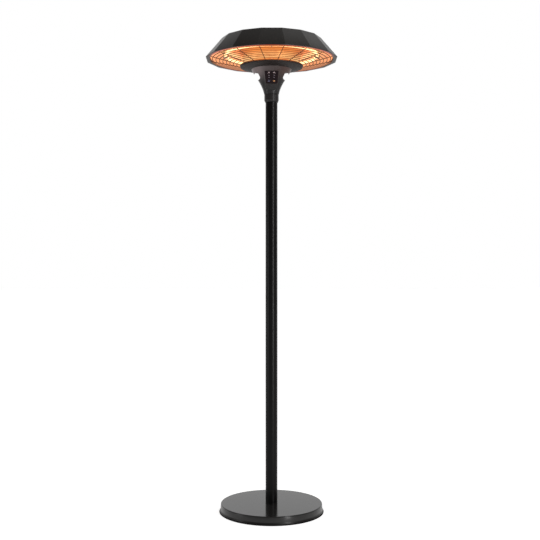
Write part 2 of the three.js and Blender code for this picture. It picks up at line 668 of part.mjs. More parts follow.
function collarScrew() {
  const tip = POLE_RADIUS + CLEARANCE;
  return crossBar(COLLAR_SCREW_RADIUS, tip, COLLAR_RADIUS + COLLAR_SCREW_STANDOUT, 0, 0, { segments: 14 });
}

// ---------------------------------------------------------------- control module, in the panel's frame
const keySpots = [-1, 1].map((side) => ({ x: (side * KEY_SPACING) / 2, y: -KEY_DROP }));
const boardFront = -BOARD_DEPTH;
const boardBack = boardFront - BOARD_THICKNESS;
const switchFoot = boardFront + CLEARANCE;
const switchTop = switchFoot + SWITCH_HEIGHT;
const plungerTop = switchTop + KEY_TRAVEL;
const boardHalfWidth = PANEL_BOTTOM_WIDTH / 2 - PANEL_LEDGE - BOARD_MARGIN;
const boardHalfLength = PANEL_LENGTH / 2 - PANEL_LEDGE - BOARD_MARGIN;
const standoffSpots = [1, -1].map((end) => ({ x: 0, y: end * (boardHalfLength - STANDOFF_RADIUS - 0.4) }));

function controlPanel() {
  const face = plate(panelShape(0), -PANEL_THICKNESS, 0);
  const holes = keySpots.map((spot) => bar(KEY_RADIUS + CLEARANCE, -PANEL_THICKNESS - 1, 1, spot));
  const standoffs = standoffSpots.map((spot) =>
    bar(STANDOFF_RADIUS, boardFront + CLEARANCE, -PANEL_THICKNESS, { segments: 14, ...spot }),
  );
  const bite = boardFront + BOARD_SCREW_BITE + 1;
  const screwHoles = standoffSpots.map((spot) =>
    bar(BOARD_SCREW_RADIUS + CLEARANCE, boardFront - 1, bite, { segments: 10, ...spot }),
  );
  return cut(join(face, ...standoffs), ...holes, ...screwHoles);
}

function controlBoard() {
  const width = [-boardHalfWidth, boardHalfWidth];
  const length = [-boardHalfLength, boardHalfLength];
  const holes = standoffSpots.map((spot) =>
    bar(BOARD_SCREW_RADIUS + CLEARANCE, boardBack - 1, boardFront + 1, { segments: 10, ...spot }),
  );
  return cut(block(width, length, [boardBack, boardFront]), ...holes);
}

function boardScrew() {
  const seat = boardBack - CLEARANCE;
  const head = bar(BOARD_SCREW_HEAD_RADIUS, seat - BOARD_SCREW_HEAD_HEIGHT, seat, { segments: 12 });
  const shank = bar(BOARD_SCREW_RADIUS, seat - 0.5, boardFront + BOARD_SCREW_BITE, { segments: 10 });
  return join(head, shank);
}

/** A key: a round cap through the panel, a wider flange behind it and a short stem. */
function panelKey() {
  const flangeFront = -PANEL_THICKNESS - CLEARANCE;
  const flangeBack = flangeFront - KEY_FLANGE;
  const stemEnd = plungerTop + CLEARANCE;
  return revolve([
    [0, stemEnd],
    [KEY_STEM_RADIUS, stemEnd],
    [KEY_STEM_RADIUS, flangeBack],
    [KEY_RADIUS + KEY_FLANGE, flangeBack],
    [KEY_RADIUS + KEY_FLANGE, flangeFront],
    [KEY_RADIUS, flangeFront],
    [KEY_RADIUS, KEY_STANDOUT - 0.3],
    [KEY_RADIUS - 0.5, KEY_STANDOUT],
    [0, KEY_STANDOUT],
  ], 16);
}

function keySwitch() {
  const half = SWITCH_WIDTH / 2;
  const body = block([-half, half], [-half, half], [switchFoot, switchTop]);
  const wellFloor = plungerTop - PLUNGER_LENGTH - KEY_TRAVEL - CLEARANCE;
  const well = bar(PLUNGER_RADIUS + CLEARANCE, wellFloor, switchTop + 1, { segments: 16 });
  return cut(body, well);
}

const switchPlunger = () => bar(PLUNGER_RADIUS, plungerTop - PLUNGER_LENGTH, plungerTop, { segments: 16 });

function displayModule() {
  const half = Math.min(DISPLAY_WIDTH / 2, boardHalfWidth);
  const low = DISPLAY_RISE - DISPLAY_LENGTH / 2;
  return block([-half, half], [low, low + DISPLAY_LENGTH], [switchFoot, switchFoot + DISPLAY_HEIGHT]);
}

function buildControls() {
  const controls = new THREE.Group();
  controls.position.set(0, -PANEL_REACH, neckFoot + NECK_HEIGHT - PANEL_DROP);
  controls.rotation.x = radians(90 + PANEL_TILT);
  addPiece(controls, "control_panel", controlPanel(), PANEL_GLOSS);
  addPiece(controls, "control_board", controlBoard(), BOARD_GREEN);
  addPiece(controls, "display_module", displayModule(), SWITCH_BLACK);
  ["power", "mode"].forEach((name, i) => {
    addPiece(controls, `${name}_key`, panelKey(), KEY_GLOSS, keySpots[i]);
    addPiece(controls, `${name}_switch`, keySwitch(), SWITCH_BLACK, keySpots[i]);
    addPiece(controls, `${name}_switch_plunger`, switchPlunger(), GREY_PLASTIC, keySpots[i]);
  });
  standoffSpots.forEach((spot, i) => {
    addPiece(controls, `board_screw_${i + 1}`, boardScrew(), ZINC, spot);
  });
  return controls;
}

function buildNeck() {
  const neck = new THREE.Group();
  const shells = cut(neckBody(), ...shellScrewHoles());
  addPiece(neck, "neck_collar", collar(), GREY_PLASTIC, { z: collarFoot });
  addPiece(neck, "collar_screw", collarScrew(), ZINC, { z: collarFoot + COLLAR_HEIGHT / 2 });
  addPiece(neck, "neck_front_shell", neckShell(shells, -1), GREY_PLASTIC, { z: neckFoot });
  addPiece(neck, "neck_rear_shell", neckShell(shells, 1), GREY_PLASTIC, { z: neckFoot });
  [-1, 1].forEach((side, i) => {
    const place = { x: side * SHELL_SCREW_OFFSET, z: neckFoot + SHELL_SCREW_HEIGHT };
    addPiece(neck, `neck_screw_${i + 1}`, shellScrew(), ZINC, place);
  });
  neck.add(buildControls());
  return neck;
}

// ---------------------------------------------------------------- hub
const postSpots = [30, 150, 270].map((angle) => around(POST_CIRCLE, angle));

function hubCover() {
  const rim = neckTop + HUB_COVER_RISE;
  const outside = [
    [POLE_RADIUS + CLEARANCE, neckTop],
    [NECK_TOP_RADIUS, neckTop],
    [HUB_COVER_RADIUS - 4, rim - 1.5],
    [HUB_COVER_RADIUS - 1, rim + 0.5],
    [HUB_COVER_RADIUS, rim + 3],
    [HUB_COVER_RADIUS, rim + HUB_RIM_HEIGHT],
  ];
  return revolve(sheet(outside, HUB_SHEET), 36);
}

function hubPlate() {
  const socket = poleBore - CLEARANCE;
  const body = revolve([
    [WIRE_HOLE_RADIUS, headTubeTop - 12],
    [socket, headTubeTop - 12],
    [socket, headTubeTop],
    [HUB_PLATE_RADIUS, headTubeTop],
    [HUB_PLATE_RADIUS, hubPlateTop],
    [WIRE_HOLE_RADIUS, hubPlateTop],
  ], 28);
  const holes = postSpots.map((spot) =>
    bar(POST_STUD_RADIUS + CLEARANCE, headTubeTop - 1, hubPlateTop + 1, { segments: 12, ...spot }),
  );
  return cut(body, ...holes);
}

/** A post that carries the reflector on its shoulder and the canopy on its head. */
function canopyPost() {
  const head = canopyCrown - CANOPY_SHEET;
  const post = revolve([
    [0, headTubeTop - 4],
    [POST_STUD_RADIUS, headTubeTop - 4],
    [POST_STUD_RADIUS, hubPlateTop],
    [POST_FOOT_RADIUS, hubPlateTop],
    [POST_FOOT_RADIUS, reflectorFlange],
    [POST_RADIUS, reflectorFlange],
    [POST_RADIUS, head],
    [0, head],
  ], 12);
  const threadEnd = head - CANOPY_SCREW_BITE - 2;
  return cut(post, bar(CANOPY_SCREW_RADIUS + CLEARANCE, threadEnd, head + 1, { segments: 12 }));
}

function terminalBlock() {
  const half = TERMINAL_WIDTH / 2;
  const top = hubPlateTop + TERMINAL_HEIGHT;
  const body = block([-half, half], [-TERMINAL_DEPTH / 2, TERMINAL_DEPTH / 2], [hubPlateTop, top]);
  const level = hubPlateTop + TERMINAL_HEIGHT / 2;
  const pitch = TERMINAL_WIDTH / 3.4;
  const holes = [-1, 0, 1].map((i) =>
    crossBar(TERMINAL_HOLE_RADIUS, -TERMINAL_DEPTH, TERMINAL_DEPTH, i * pitch, level, { segments: 12 }),
  );
  return cut(body, ...holes);
}

const tiltPivot = hubPlateTop + TILT_PIVOT_HEIGHT;

function tiltBracket() {
  const half = TILT_BRACKET_WIDTH / 2;
  const inner = TILT_GAP / 2;
  const outer = inner + TILT_CHEEK;
  const top = tiltPivot + TILT_AXLE_RADIUS + 4;
  const foot = block([-half, half], [-outer, outer], [hubPlateTop, hubPlateTop + TILT_CHEEK]);
  const spans = [[-outer, -inner], [inner, outer]];
  const cheeks = spans.map((span) => block([-half, half], span, [hubPlateTop, top]));
  const axleHole = crossBar(TILT_AXLE_RADIUS + PIVOT_CLEARANCE, -outer - 1, outer + 1, 0, tiltPivot);
  return cut(join(foot, ...cheeks), axleHole);
}

function tiltPendulum() {
  const axleEnd = TILT_GAP / 2 + TILT_CHEEK + 0.5;
  const axle = crossBar(TILT_AXLE_RADIUS, -axleEnd, axleEnd, 0, 0);
  const boss = crossBar(TILT_AXLE_RADIUS + 2, -TILT_GAP / 2 + 1, TILT_GAP / 2 - 1, 0, 0);
  const arm = block([-1.5, 1.5], [-2, 2], [-TILT_ARM, 0]);
  const bob = crossBar(TILT_BOB_RADIUS, -TILT_BOB_WIDTH / 2, TILT_BOB_WIDTH / 2, 0, -TILT_ARM);
  return join(axle, boss, arm, bob);
}

function buildHub() {
  const hub = new THREE.Group();
  addPiece(hub, "hub_cover", hubCover(), DARK_DISC);
  addPiece(hub, "hub_plate", hubPlate(), ZINC);
  postSpots.forEach((spot, i) => addPiece(hub, `canopy_post_${i + 1}`, canopyPost(), ZINC, spot));
  addPiece(hub, "terminal_block", terminalBlock(), CERAMIC, { y: TERMINAL_SETBACK });
  addPiece(hub, "tilt_switch_bracket", tiltBracket(), ZINC, { x: -TILT_OFFSET });
  addPiece(hub, "tilt_pendulum", tiltPendulum(), ZINC, { x: -TILT_OFFSET, z: tiltPivot });
  return hub;
}

// ---------------------------------------------------------------- canopy, reflector and guard
function canopy() {
  const rimTop = canopyRim + CANOPY_SIDE_HEIGHT;
  const outside = [
    [CANOPY_MOUTH_RADIUS * 0.94, canopyRim],
    [CANOPY_RIM_RADIUS, canopyRim],
    [CANOPY_TOP_RADIUS, rimTop],
    [CANOPY_CROWN_RADIUS, canopyCrown],
    [0, canopyCrown],
  ];
  const facets = revolve(sheet(outside, CANOPY_SHEET), CANOPY_SIDES, Math.PI / CANOPY_SIDES);
  const mouth = bar(CANOPY_MOUTH_RADIUS, canopyRim - 1, canopyRim + CANOPY_SHEET + 1, { segments: 48 });
  const underCrown = canopyCrown - CANOPY_SHEET - 1;
  const holes = postSpots.map((spot) =>
    bar(CANOPY_SCREW_RADIUS + CLEARANCE, underCrown, canopyCrown + 1, { segments: 12, ...spot }),
  );
  return cut(facets, mouth, ...holes);
}

function canopyScrew() {
  const top = canopyCrown + CANOPY_SCREW_HEAD_HEIGHT;
  const shankEnd = canopyCrown - CANOPY_SHEET - CANOPY_SCREW_BITE;
  return revolve([
    [0, shankEnd],
    [CANOPY_SCREW_RADIUS, shankEnd],
    [CANOPY_SCREW_RADIUS, canopyCrown],
    [CANOPY_SCREW_HEAD_RADIUS, canopyCrown],
    [CANOPY_SCREW_HEAD_RADIUS * 0.8, canopyCrown + CANOPY_SCREW_HEAD_HEIGHT * 0.75],
    [0, top],
  ], 16);
}

function reflector() {
  const roof = reflectorRoof;
  const under = [
    [REFLECTOR_FLANGE_INNER, reflectorFlange],
    [REFLECTOR_INNER_RADIUS, reflectorFlange],
    [REFLECTOR_INNER_RADIUS + 9, reflectorFlange + 0.5 * REFLECTOR_DEPTH],
    [REFLECTOR_ROOF_INNER - 14, roof - 8],
    [REFLECTOR_ROOF_INNER, roof],
    [REFLECTOR_ROOF_OUTER, roof],
    [CANOPY_MOUTH_RADIUS - REFLECTOR_OUTER_GAP - 10, roof - 0.4 * REFLECTOR_OUTER_DROP],
    [CANOPY_MOUTH_RADIUS - REFLECTOR_OUTER_GAP, roof - REFLECTOR_OUTER_DROP],
  ];
  const dish = revolve(sheet(under, REFLECTOR_SHEET), 32);
  const overFlange = reflectorFlange + REFLECTOR_SHEET + 1;
  const holes = postSpots.map((spot) =>
    bar(POST_RADIUS + CLEARANCE, reflectorFlange - 1, overFlange, { segments: 12, ...spot }),
  );
  return cut(dish, ...holes);
}

/** The guard: concentric wires on a shallow cone, welded to one straight wire under each corner. */
function guard() {
  const outer = { r: CANOPY_MOUTH_RADIUS + GUARD_LAP, z: canopyRim + CANOPY_SHEET + GUARD_LIFT };
  const hubRim = neckTop + HUB_COVER_RISE + HUB_RIM_HEIGHT;
  const inner = { r: HUB_COVER_RADIUS - HUB_SHEET / 2, z: hubRim + GUARD_WIRE + CLEARANCE };
  const along = (t) => [inner.r + (outer.r - inner.r) * t, inner.z + (outer.z - inner.z) * t];
  const rings = Array.from({ length: GUARD_RINGS }, (_, i) => {
    const [r, z] = along(i / (GUARD_RINGS - 1));
    return revolve(arc(r, z, GUARD_WIRE, 90, 330, 2), 2 * CANOPY_SIDES, Math.PI / CANOPY_SIDES);
  });
  const slope = THREE.MathUtils.radToDeg(Math.atan2(outer.z - inner.z, outer.r - inner.r));
  const length = Math.hypot(outer.z - inner.z, outer.r - inner.r);
  const straight = bar(GUARD_WIRE, 0, length, { segments: 4 })
    .rotate([0, 90 - slope, 0])
    .translate([inner.r, 0, inner.z]);
  const spokes = Array.from({ length: CANOPY_SIDES }, (_, i) =>
    straight.rotate([0, 0, ((i + 0.5) * 360) / CANOPY_SIDES]),
  );
  return join(...rings, ...spokes);
}

// ---------------------------------------------------------------- heating ring: two half rings of tube
const holderAngles = [0, 180];
const clipAngles = [90, 270];
const tubeEndAngle = (HOLDER_WIDTH / 2 - HOLDER_SOCKET) / ELEMENT_RADIUS;
const filamentEndAngle = (HOLDER_WIDTH / 2 - HOLDER_SOCKET - 2) / ELEMENT_RADIUS;

function elementTube() {
  const path = new LevelArc(ELEMENT_RADIUS, tubeEndAngle, Math.PI - tubeEndAngle);
  const bore = new LevelArc(ELEMENT_RADIUS, tubeEndAngle - 0.01, Math.PI - tubeEndAngle + 0.01);
  const inside = sweep(bore, ELEMENT_TUBE_RADIUS - ELEMENT_TUBE_WALL, 6, 16);
  return cut(sweep(path, ELEMENT_TUBE_RADIUS, 6, 16), inside);
}

const filament = () =>
  sweep(new LevelArc(ELEMENT_RADIUS, filamentEndAngle, Math.PI - filamentEndAngle), FILAMENT_RADIUS, 4, 16);

/** A ceramic block under the reflector's roof; a tube's end goes into each side of it. */
function ceramicHolder() {
  const half = HOLDER_WIDTH / 2;
  const top = reflectorRoof - elementHeight - CLEARANCE;
  const bottom = -ELEMENT_TUBE_RADIUS - HOLDER_BELOW_TUBE;
  const body = block([-HOLDER_DEPTH / 2, HOLDER_DEPTH / 2], [-half, half], [bottom, top]);
  const socket = ELEMENT_TUBE_RADIUS + HOLDER_PLAY;
  const socketEnd = half - HOLDER_SOCKET - 0.5;
  const sockets = [[-half - 1, -socketEnd], [socketEnd, half + 1]].map(([front, back]) =>
    crossBar(socket, front, back, 0, 0, { segments: 16 }),
  );
  const wireWay = crossBar(FILAMENT_RADIUS + CLEARANCE, -half, half, 0, 0, { segments: 12 });
  return cut(body, ...sockets, wireWay);
}

/** A steel clip that hangs the middle of a tube from the reflector's roof. */
function elementClip() {
  const bore = ELEMENT_TUBE_RADIUS + CLEARANCE;
  const top = reflectorRoof - elementHeight - CLEARANCE;
  const half = CLIP_WIDTH / 2;
  const loop = crossBar(bore + CLIP_WALL, -half, half, 0, 0, { bore, segments: 20 });
  const stem = block([-CLIP_WALL, CLIP_WALL], [-half, half], [bore + CLIP_WALL / 2, top]);
  const foot = block([-CLIP_WIDTH, CLIP_WIDTH], [-half, half], [top - CLIP_WALL, top]);
  return join(loop, stem, foot);
}

function buildHead() {
  const head = new THREE.Group();
  addPiece(head, "canopy", canopy(), BLACK_ENAMEL);
  addPiece(head, "reflector", reflector(), POLISHED);
  addPiece(head, "guard_grille", guard(), GUARD_STEEL);
  postSpots.forEach((spot, i) => addPiece(head, `canopy_screw_${i + 1}`, canopyScrew(), ZINC, spot));
  const place = (degrees) => ({ ...around(ELEMENT_RADIUS, degrees), z: elementHeight, turn: degrees });
  [0, 180].forEach((turn, i) => {
    addPiece(head, `element_tube_${i + 1}`, elementTube(), GLOWING_GLASS, { z: elementHeight, turn });
    addPiece(head, `filament_${i + 1}`, filament(), HOT_WIRE, { z: elementHeight, turn });
  });
  holderAngles.forEach((angle, i) => {
    addPiece(head, `ceramic_holder_${i + 1}`, ceramicHolder(), CERAMIC, place(angle));
  });
  clipAngles.forEach((angle, i) => {
    addPiece(head, `element_clip_${i + 1}`, elementClip(), ZINC, place(angle));
  });
  return head;
}

const tower = new THREE.Group();
tower.add(buildBase(), buildPole(), buildNeck(), buildHub(), buildHead());
export default tower;
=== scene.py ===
"""The looks of a free-standing infrared patio heater tower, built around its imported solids.

Metres, +Z up, the control panel towards -Y. Every piece is made at its place in the tower's own frame.
"""

from __future__ import annotations

import logging
import math
from collections.abc import Sequence
from dataclasses import dataclass, field
from enum import Enum

import bmesh
import bpy
from mathutils import Matrix, Vector


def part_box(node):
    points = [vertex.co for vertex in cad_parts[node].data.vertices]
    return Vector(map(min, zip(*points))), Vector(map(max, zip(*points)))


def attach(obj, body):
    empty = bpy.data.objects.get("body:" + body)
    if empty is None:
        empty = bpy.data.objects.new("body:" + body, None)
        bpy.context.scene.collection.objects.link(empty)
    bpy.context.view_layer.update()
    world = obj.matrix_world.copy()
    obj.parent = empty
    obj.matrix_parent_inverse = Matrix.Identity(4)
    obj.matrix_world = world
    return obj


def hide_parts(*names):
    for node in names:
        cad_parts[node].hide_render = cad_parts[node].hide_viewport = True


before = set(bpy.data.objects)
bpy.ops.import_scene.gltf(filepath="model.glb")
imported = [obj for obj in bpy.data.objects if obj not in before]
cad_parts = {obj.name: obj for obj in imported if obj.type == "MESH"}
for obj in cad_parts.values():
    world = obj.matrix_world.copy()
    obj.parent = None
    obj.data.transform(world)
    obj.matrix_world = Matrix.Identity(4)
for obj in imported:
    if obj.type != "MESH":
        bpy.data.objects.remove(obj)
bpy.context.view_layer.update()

log = logging.getLogger("heater")
Piece = bpy.types.Object
Socket = bpy.types.NodeSocket
Point2 = tuple[float, float]
Corner = tuple[float, float, float]
Colour = tuple[float, float, float]
Place = tuple[float, float, float]

MM = 0.001
TOWER = "tower"
BLACK = (0.0, 0.0, 0.0)
WHITE = (1.0, 1.0, 1.0, 1.0)
PLAY = 0.3 * MM  # between a bore or a pocket and what goes through it
FLAT_EDGE = 2 * MM  # beside a rounded edge, so that the shading of the flat face past it stays flat
WELD = 1e-6  # points nearer to each other than this are merged


# ---------------------------------------------------------------- node trees
class Signal:
    """A number socket that takes part in Python arithmetic; each operation adds one Math node."""

    def __init__(self, graph: Graph, socket: Socket) -> None:
        """Wraps a socket of a graph."""
        self.graph = graph
        self.socket = socket

    def math(self, operation: str, *others: Signal | float) -> Signal:
        """Adds a Math node.

        Args:
            operation: The Math node's operation.
            others: The operands after this one.

        Returns:
            The node's result.
        """
        node = self.graph.node("ShaderNodeMath", {"operation": operation})
        for socket, value in zip(node.inputs, (self, *others)):
            self.graph.feed(socket, value)
        return Signal(self.graph, node.outputs[0])

    def __add__(self, other: Signal | float) -> Signal:
        """Sum."""
        return self.math("ADD", other)

    __radd__ = __add__

    def __sub__(self, other: Signal | float) -> Signal:
        """Difference."""
        return self.math("SUBTRACT", other)

    def __rsub__(self, other: float) -> Signal:
        """Difference from a plain number."""
        return self.math("MULTIPLY", -1.0) + other

    def __mul__(self, other: Signal | float) -> Signal:
        """Product."""
        return self.math("MULTIPLY", other)

    __rmul__ = __mul__

    def __truediv__(self, other: Signal | float) -> Signal:
        """Quotient."""
        return self.math("DIVIDE", other)

    def band(self, centre: float, width: float) -> Signal:
        """A smooth bump that is 1 at the centre and fades to 0 at that distance from it."""
        away = (self - centre).math("ABSOLUTE")
        return 1.0 - away.step(0.0, width)

    def step(self, start: float, end: float) -> Signal:
        """A smooth step.

        Args:
            start: Where it leaves 0.
            end: Where it comes to 1.

        Returns:
            The stepped value.
        """
        settings = {"interpolation_type": "SMOOTHSTEP"}
        values = {"Value": self, "From Min": start, "From Max": end}
        node = self.graph.node("ShaderNodeMapRange", settings, values)
        return Signal(self.graph, node.outputs["Result"])


class Graph:
    """Adds nodes to one shader or geometry tree."""

    def __init__(self, tree: bpy.types.NodeTree) -> None:
        """Keeps the tree that the nodes go into."""
        self.tree = tree

    def node(self, kind: str, settings: dict | None = None, values: dict | None = None) -> bpy.types.Node:
        """Adds one node.

        Args:
            kind: The node's type.
            settings: Its properties, set before its inputs.
            values: A value or a link for each input, by name or number.

        Returns:
            The node.
        """
        made = self.tree.nodes.new(kind)
        for key, value in (settings or {}).items():
            setattr(made, key, value)
        for key, value in (values or {}).items():
            self.feed(made.inputs[key], value)
        return made

    def feed(self, socket: Socket, value: object) -> None:
        """Links or sets one input.

        Args:
            socket: The input.
            value: A signal or a socket to link, or a plain value.
        """
        source = value.socket if isinstance(value, Signal) else value
        if isinstance(source, Socket):
            self.tree.links.new(source, socket)
        else:
            socket.default_value = source

    def signal(self, node: bpy.types.Node, output: str | int = 0) -> Signal:
        """A node's output as a signal."""
        return Signal(self, node.outputs[output])

    def part(self, vector: Socket, axis: int) -> Signal:
        """One part of a vector: 0 for X, 1 for Y and 2 for Z."""
        return self.signal(self.node("ShaderNodeSeparateXYZ", None, {"Vector": vector}), axis)

    def ray(self, kind: str) -> Signal:
        """1 for rays of a kind, such as Camera or Glossy, and 0 for all others."""
        return self.signal(self.node("ShaderNodeLightPath"), f"Is {kind} Ray")

    def seen(self) -> Signal:
        """1 for what the camera sees, also through glass, and 0 for what only lights the object."""
        return self.ray("Camera").math("MAXIMUM", self.ray("Transmission"))


class Shader(Graph):
    """A material's tree with the helpers that the finishes share."""

    def __init__(self, name: str) -> None:
        """Starts a material with its Principled shader.

        Args:
            name: The material's name.
        """
        self.material = bpy.data.materials.new(name)
        self.material.use_nodes = True
        super().__init__(self.material.node_tree)
        self.surface = self.tree.nodes["Principled BSDF"]
        self.place = self.node("ShaderNodeTexCoord").outputs["Object"]

    def noise(self, scale: float, detail: float = 2.0, place: Socket | None = None) -> Signal:
        """Noise over the piece.

        Args:
            scale: Features per metre.
            detail: Octaves.
            place: The coordinates, the object's own if left out.

        Returns:
            The noise, about 0.5 on average.
        """
        values = {"Vector": place or self.place, "Scale": scale, "Detail": detail}
        return self.signal(self.node("ShaderNodeTexNoise", None, values))

    def streaks(self, scale: Place) -> Signal:
        """Noise with its own number of features per metre along each axis."""
        node = self.node("ShaderNodeMapping", None, {"Vector": self.place, "Scale": scale})
        return self.noise(1.0, place=node.outputs[0])

    def blend(self, factor: Signal, low_end: Colour | Socket, high_end: Colour | Socket) -> Socket:
        """Mixes two colours.

        Args:
            factor: 0 for the first colour and 1 for the second.
            low_end: The first colour.
            high_end: The second colour.

        Returns:
            The mixed colour.
        """
        first, second = ((*end, 1.0) if isinstance(end, tuple) else end for end in (low_end, high_end))
        node = self.node("ShaderNodeMix", {"data_type": "RGBA"}, {0: factor, 6: first, 7: second})
        return node.outputs[2]

    def bump(self, height: Signal, distance: float) -> None:
        """Feeds a height, in units of a distance in metres, into the surface's normal."""
        node = self.node("ShaderNodeBump", None, {"Height": height, "Distance": distance, "Strength": 1.0})
        self.feed(self.surface.inputs["Normal"], node.outputs[0])

    def set(self, **values: object) -> None:
        """Sets the shader's sockets; underscores in a name stand for spaces."""
        for key, value in values.items():
            self.feed(self.surface.inputs[key.replace("_", " ")], value)

    def glow(self, colour: Colour | Socket, strength: float = 1.0) -> None:
        """Makes the surface give off a colour."""
        plain = isinstance(colour, tuple)
        self.set(Emission_Color=(*colour, 1.0) if plain else colour, Emission_Strength=strength)

    def radius(self) -> Signal:
        """Distance from the pole's axis."""
        x, y = self.part(self.place, 0), self.part(self.place, 1)
        return (x * x + y * y).math("SQRT")

    def turn(self) -> Signal:
        """Angle round the pole's axis, in radians."""
        return self.part(self.place, 1).math("ARCTAN2", self.part(self.place, 0))

    def height(self) -> Signal:
        """Height over the floor."""
        return self.part(self.place, 2)

    def frontness(self) -> Signal:
        """1 in front of the pole's axis, 0 beside it and -1 behind it."""
        return self.part(self.place, 1) / self.radius() * -1.0

    def rightness(self) -> Signal:
        """1 at the right of the pole's axis, seen from the front, and -1 at its left."""
        return self.part(self.place, 0) / self.radius()

    def facing_axis(self) -> Signal:
        """How far the surface faces the pole's axis.

        Returns:
            1 where it faces the axis and -1 where it faces away from it.
        """
        def vector(operation: str, *inputs: object) -> bpy.types.Node:
            """Adds a Vector Math node."""
            return self.node("ShaderNodeVectorMath", {"operation": operation}, dict(enumerate(inputs)))

        normal = self.node("ShaderNodeNewGeometry").outputs["True Normal"]
        level = vector("MULTIPLY", self.place, (1.0, 1.0, 0.0))
        outwards = vector("NORMALIZE", level.outputs[0])
        return self.signal(vector("DOT_PRODUCT", normal, outwards.outputs[0]), "Value") * -1.0


# ---------------------------------------------------------------- finishes
@dataclass(frozen=True)
class Finish:
    """A finish with a slight variation of colour and gloss and a fine surface texture."""

    name: str
    colour: Colour
    roughness: float
    metallic: float = 0.0
    specular: float = 0.5
    variation: float = 0.12
    patch_scale: float = 9.0
    patch_gloss: float = 0.12
    grain_scale: float = 900.0
    grain_gloss: float = 0.08
    grain_depth: float = 0.03 * MM

    @property
    def label(self) -> str:
        """The material's name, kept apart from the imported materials' names."""
        return f"{self.name}_finish"

    def shader(self) -> Shader:
        """Builds the shader that all finishes start from.

        Returns:
            The shader, for a finish of its own kind to add to.
        """
        shader = Shader(self.label)
        patches = shader.noise(self.patch_scale, 3.0)
        grain = shader.noise(self.grain_scale)
        darker = tuple(c * (1 - self.variation) for c in self.colour)
        paler = tuple(c * (1 + self.variation) for c in self.colour)
        gloss = (patches - 0.5) * self.patch_gloss + (grain - 0.5) * self.grain_gloss
        shader.set(
            Base_Color=shader.blend(patches, darker, paler),
            Roughness=self.roughness + gloss,
            Metallic=self.metallic,
            Specular_IOR_Level=self.specular,
        )
        shader.bump(grain, self.grain_depth)
        return shader

    def material(self) -> bpy.types.Material:
        """The finish's material, made once."""
        return bpy.data.materials.get(self.label) or self.shader().material


@dataclass(frozen=True)
class BrushedFinish(Finish):
    """Plated or rolled metal with fine drawn lines."""

    line_scale: Place = (40.0, 40.0, 2500.0)
    line_gloss: float = 0.25

    def shader(self) -> Shader:
        """Adds the drawn lines.

        Returns:
            The shader.
        """
        shader = super().shader()
        lines = shader.streaks(self.line_scale)
        shader.set(Roughness=self.roughness + (lines - 0.5) * self.line_gloss)
        shader.bump(lines, self.grain_depth)
        return shader


@dataclass(frozen=True)
class PoleFinish(Finish):
    """Powder coat on drawn tube: faint lengthwise streaks under the orange peel."""

    streak_scale: Place = (420.0, 420.0, 1.5)
    streak_gloss: float = 0.1

    def shader(self) -> Shader:
        """Adds the streaks.

        Returns:
            The shader.
        """
        shader = super().shader()
        streaks = shader.streaks(self.streak_scale)
        shader.set(Roughness=self.roughness + (streaks - 0.5) * self.streak_gloss)
        return shader


@dataclass(frozen=True)
class GlowReflector(Finish):
    """Bright sheet with the heating ring's light painted on as glow: pale painted highlights beside the
    ring and at the inner wall's foot, orange on the inner wall in front and painted shade on it at the
    sides, dimmed unevenly.
    """

    ring_radius: float = 0.204
    ring_reach: float = 0.042
    ring_share: float = 0.85
    foot_radius: float = 0.125
    foot_reach: float = 0.014
    foot_share: float = 0.6
    roof_radius: float = 0.172
    edge_radius: float = 0.250
    front_span: Point2 = (0.35, 0.95)
    back_span: Point2 = (-0.65, -0.2)
    orange: Colour = (0.80, 0.225, 0.038)
    # painted shade: the darker glow on the inner wall at the sides, and where the glow is dimmed
    shaded_glow: Colour = (0.52, 0.12, 0.034)
    pale: Colour = (1.0, 0.70, 0.30)
    salmon: Colour = (0.80, 0.35, 0.16)
    streak_scale: Place = (10.0, 10.0, 170.0)
    streak_share: float = 1.3
    mottle_scale: float = 55.0
    mottle_share: float = 0.9
    dimming: float = 0.25
    dent_scale: float = 260.0
    dent_depth: float = 0.4 * MM
    strength: float = 1.15

    def shader(self) -> Shader:
        """Adds the painted glow.

        Returns:
            The shader.
        """
        shader = super().shader()
        radius = shader.radius()
        front = shader.frontness().step(*self.front_span)
        streaks = shader.streaks(self.streak_scale)
        mottle = shader.noise(self.mottle_scale, 3.0)
        back = 1.0 - shader.frontness().step(*self.back_span)
        # painted shade: the inner wall glows darker at the sides than in front and at the rear
        wall = shader.blend(front, shader.blend(back, self.shaded_glow, self.salmon), self.orange)
        roof = shader.blend(radius.step(self.roof_radius, self.edge_radius), wall, self.salmon)
        # painted highlights: pale glow beside the ring and at the inner wall's foot
        beside = radius.band(self.ring_radius, self.ring_reach) * self.ring_share
        lit = shader.blend(beside, roof, self.pale)
        foot = radius.band(self.foot_radius, self.foot_reach) * self.foot_share
        edged = shader.blend(foot, lit, self.pale)
        uneven = (streaks - 0.5) * self.streak_share + (mottle - 0.5) * self.mottle_share
        # the painted glow is dimmed unevenly towards the shaded tone
        dim = (uneven + self.dimming).step(0.0, 1.0)
        shader.glow(shader.blend(dim, edged, self.shaded_glow), self.strength)
        shader.bump(shader.noise(self.dent_scale), self.dent_depth)
        return shader


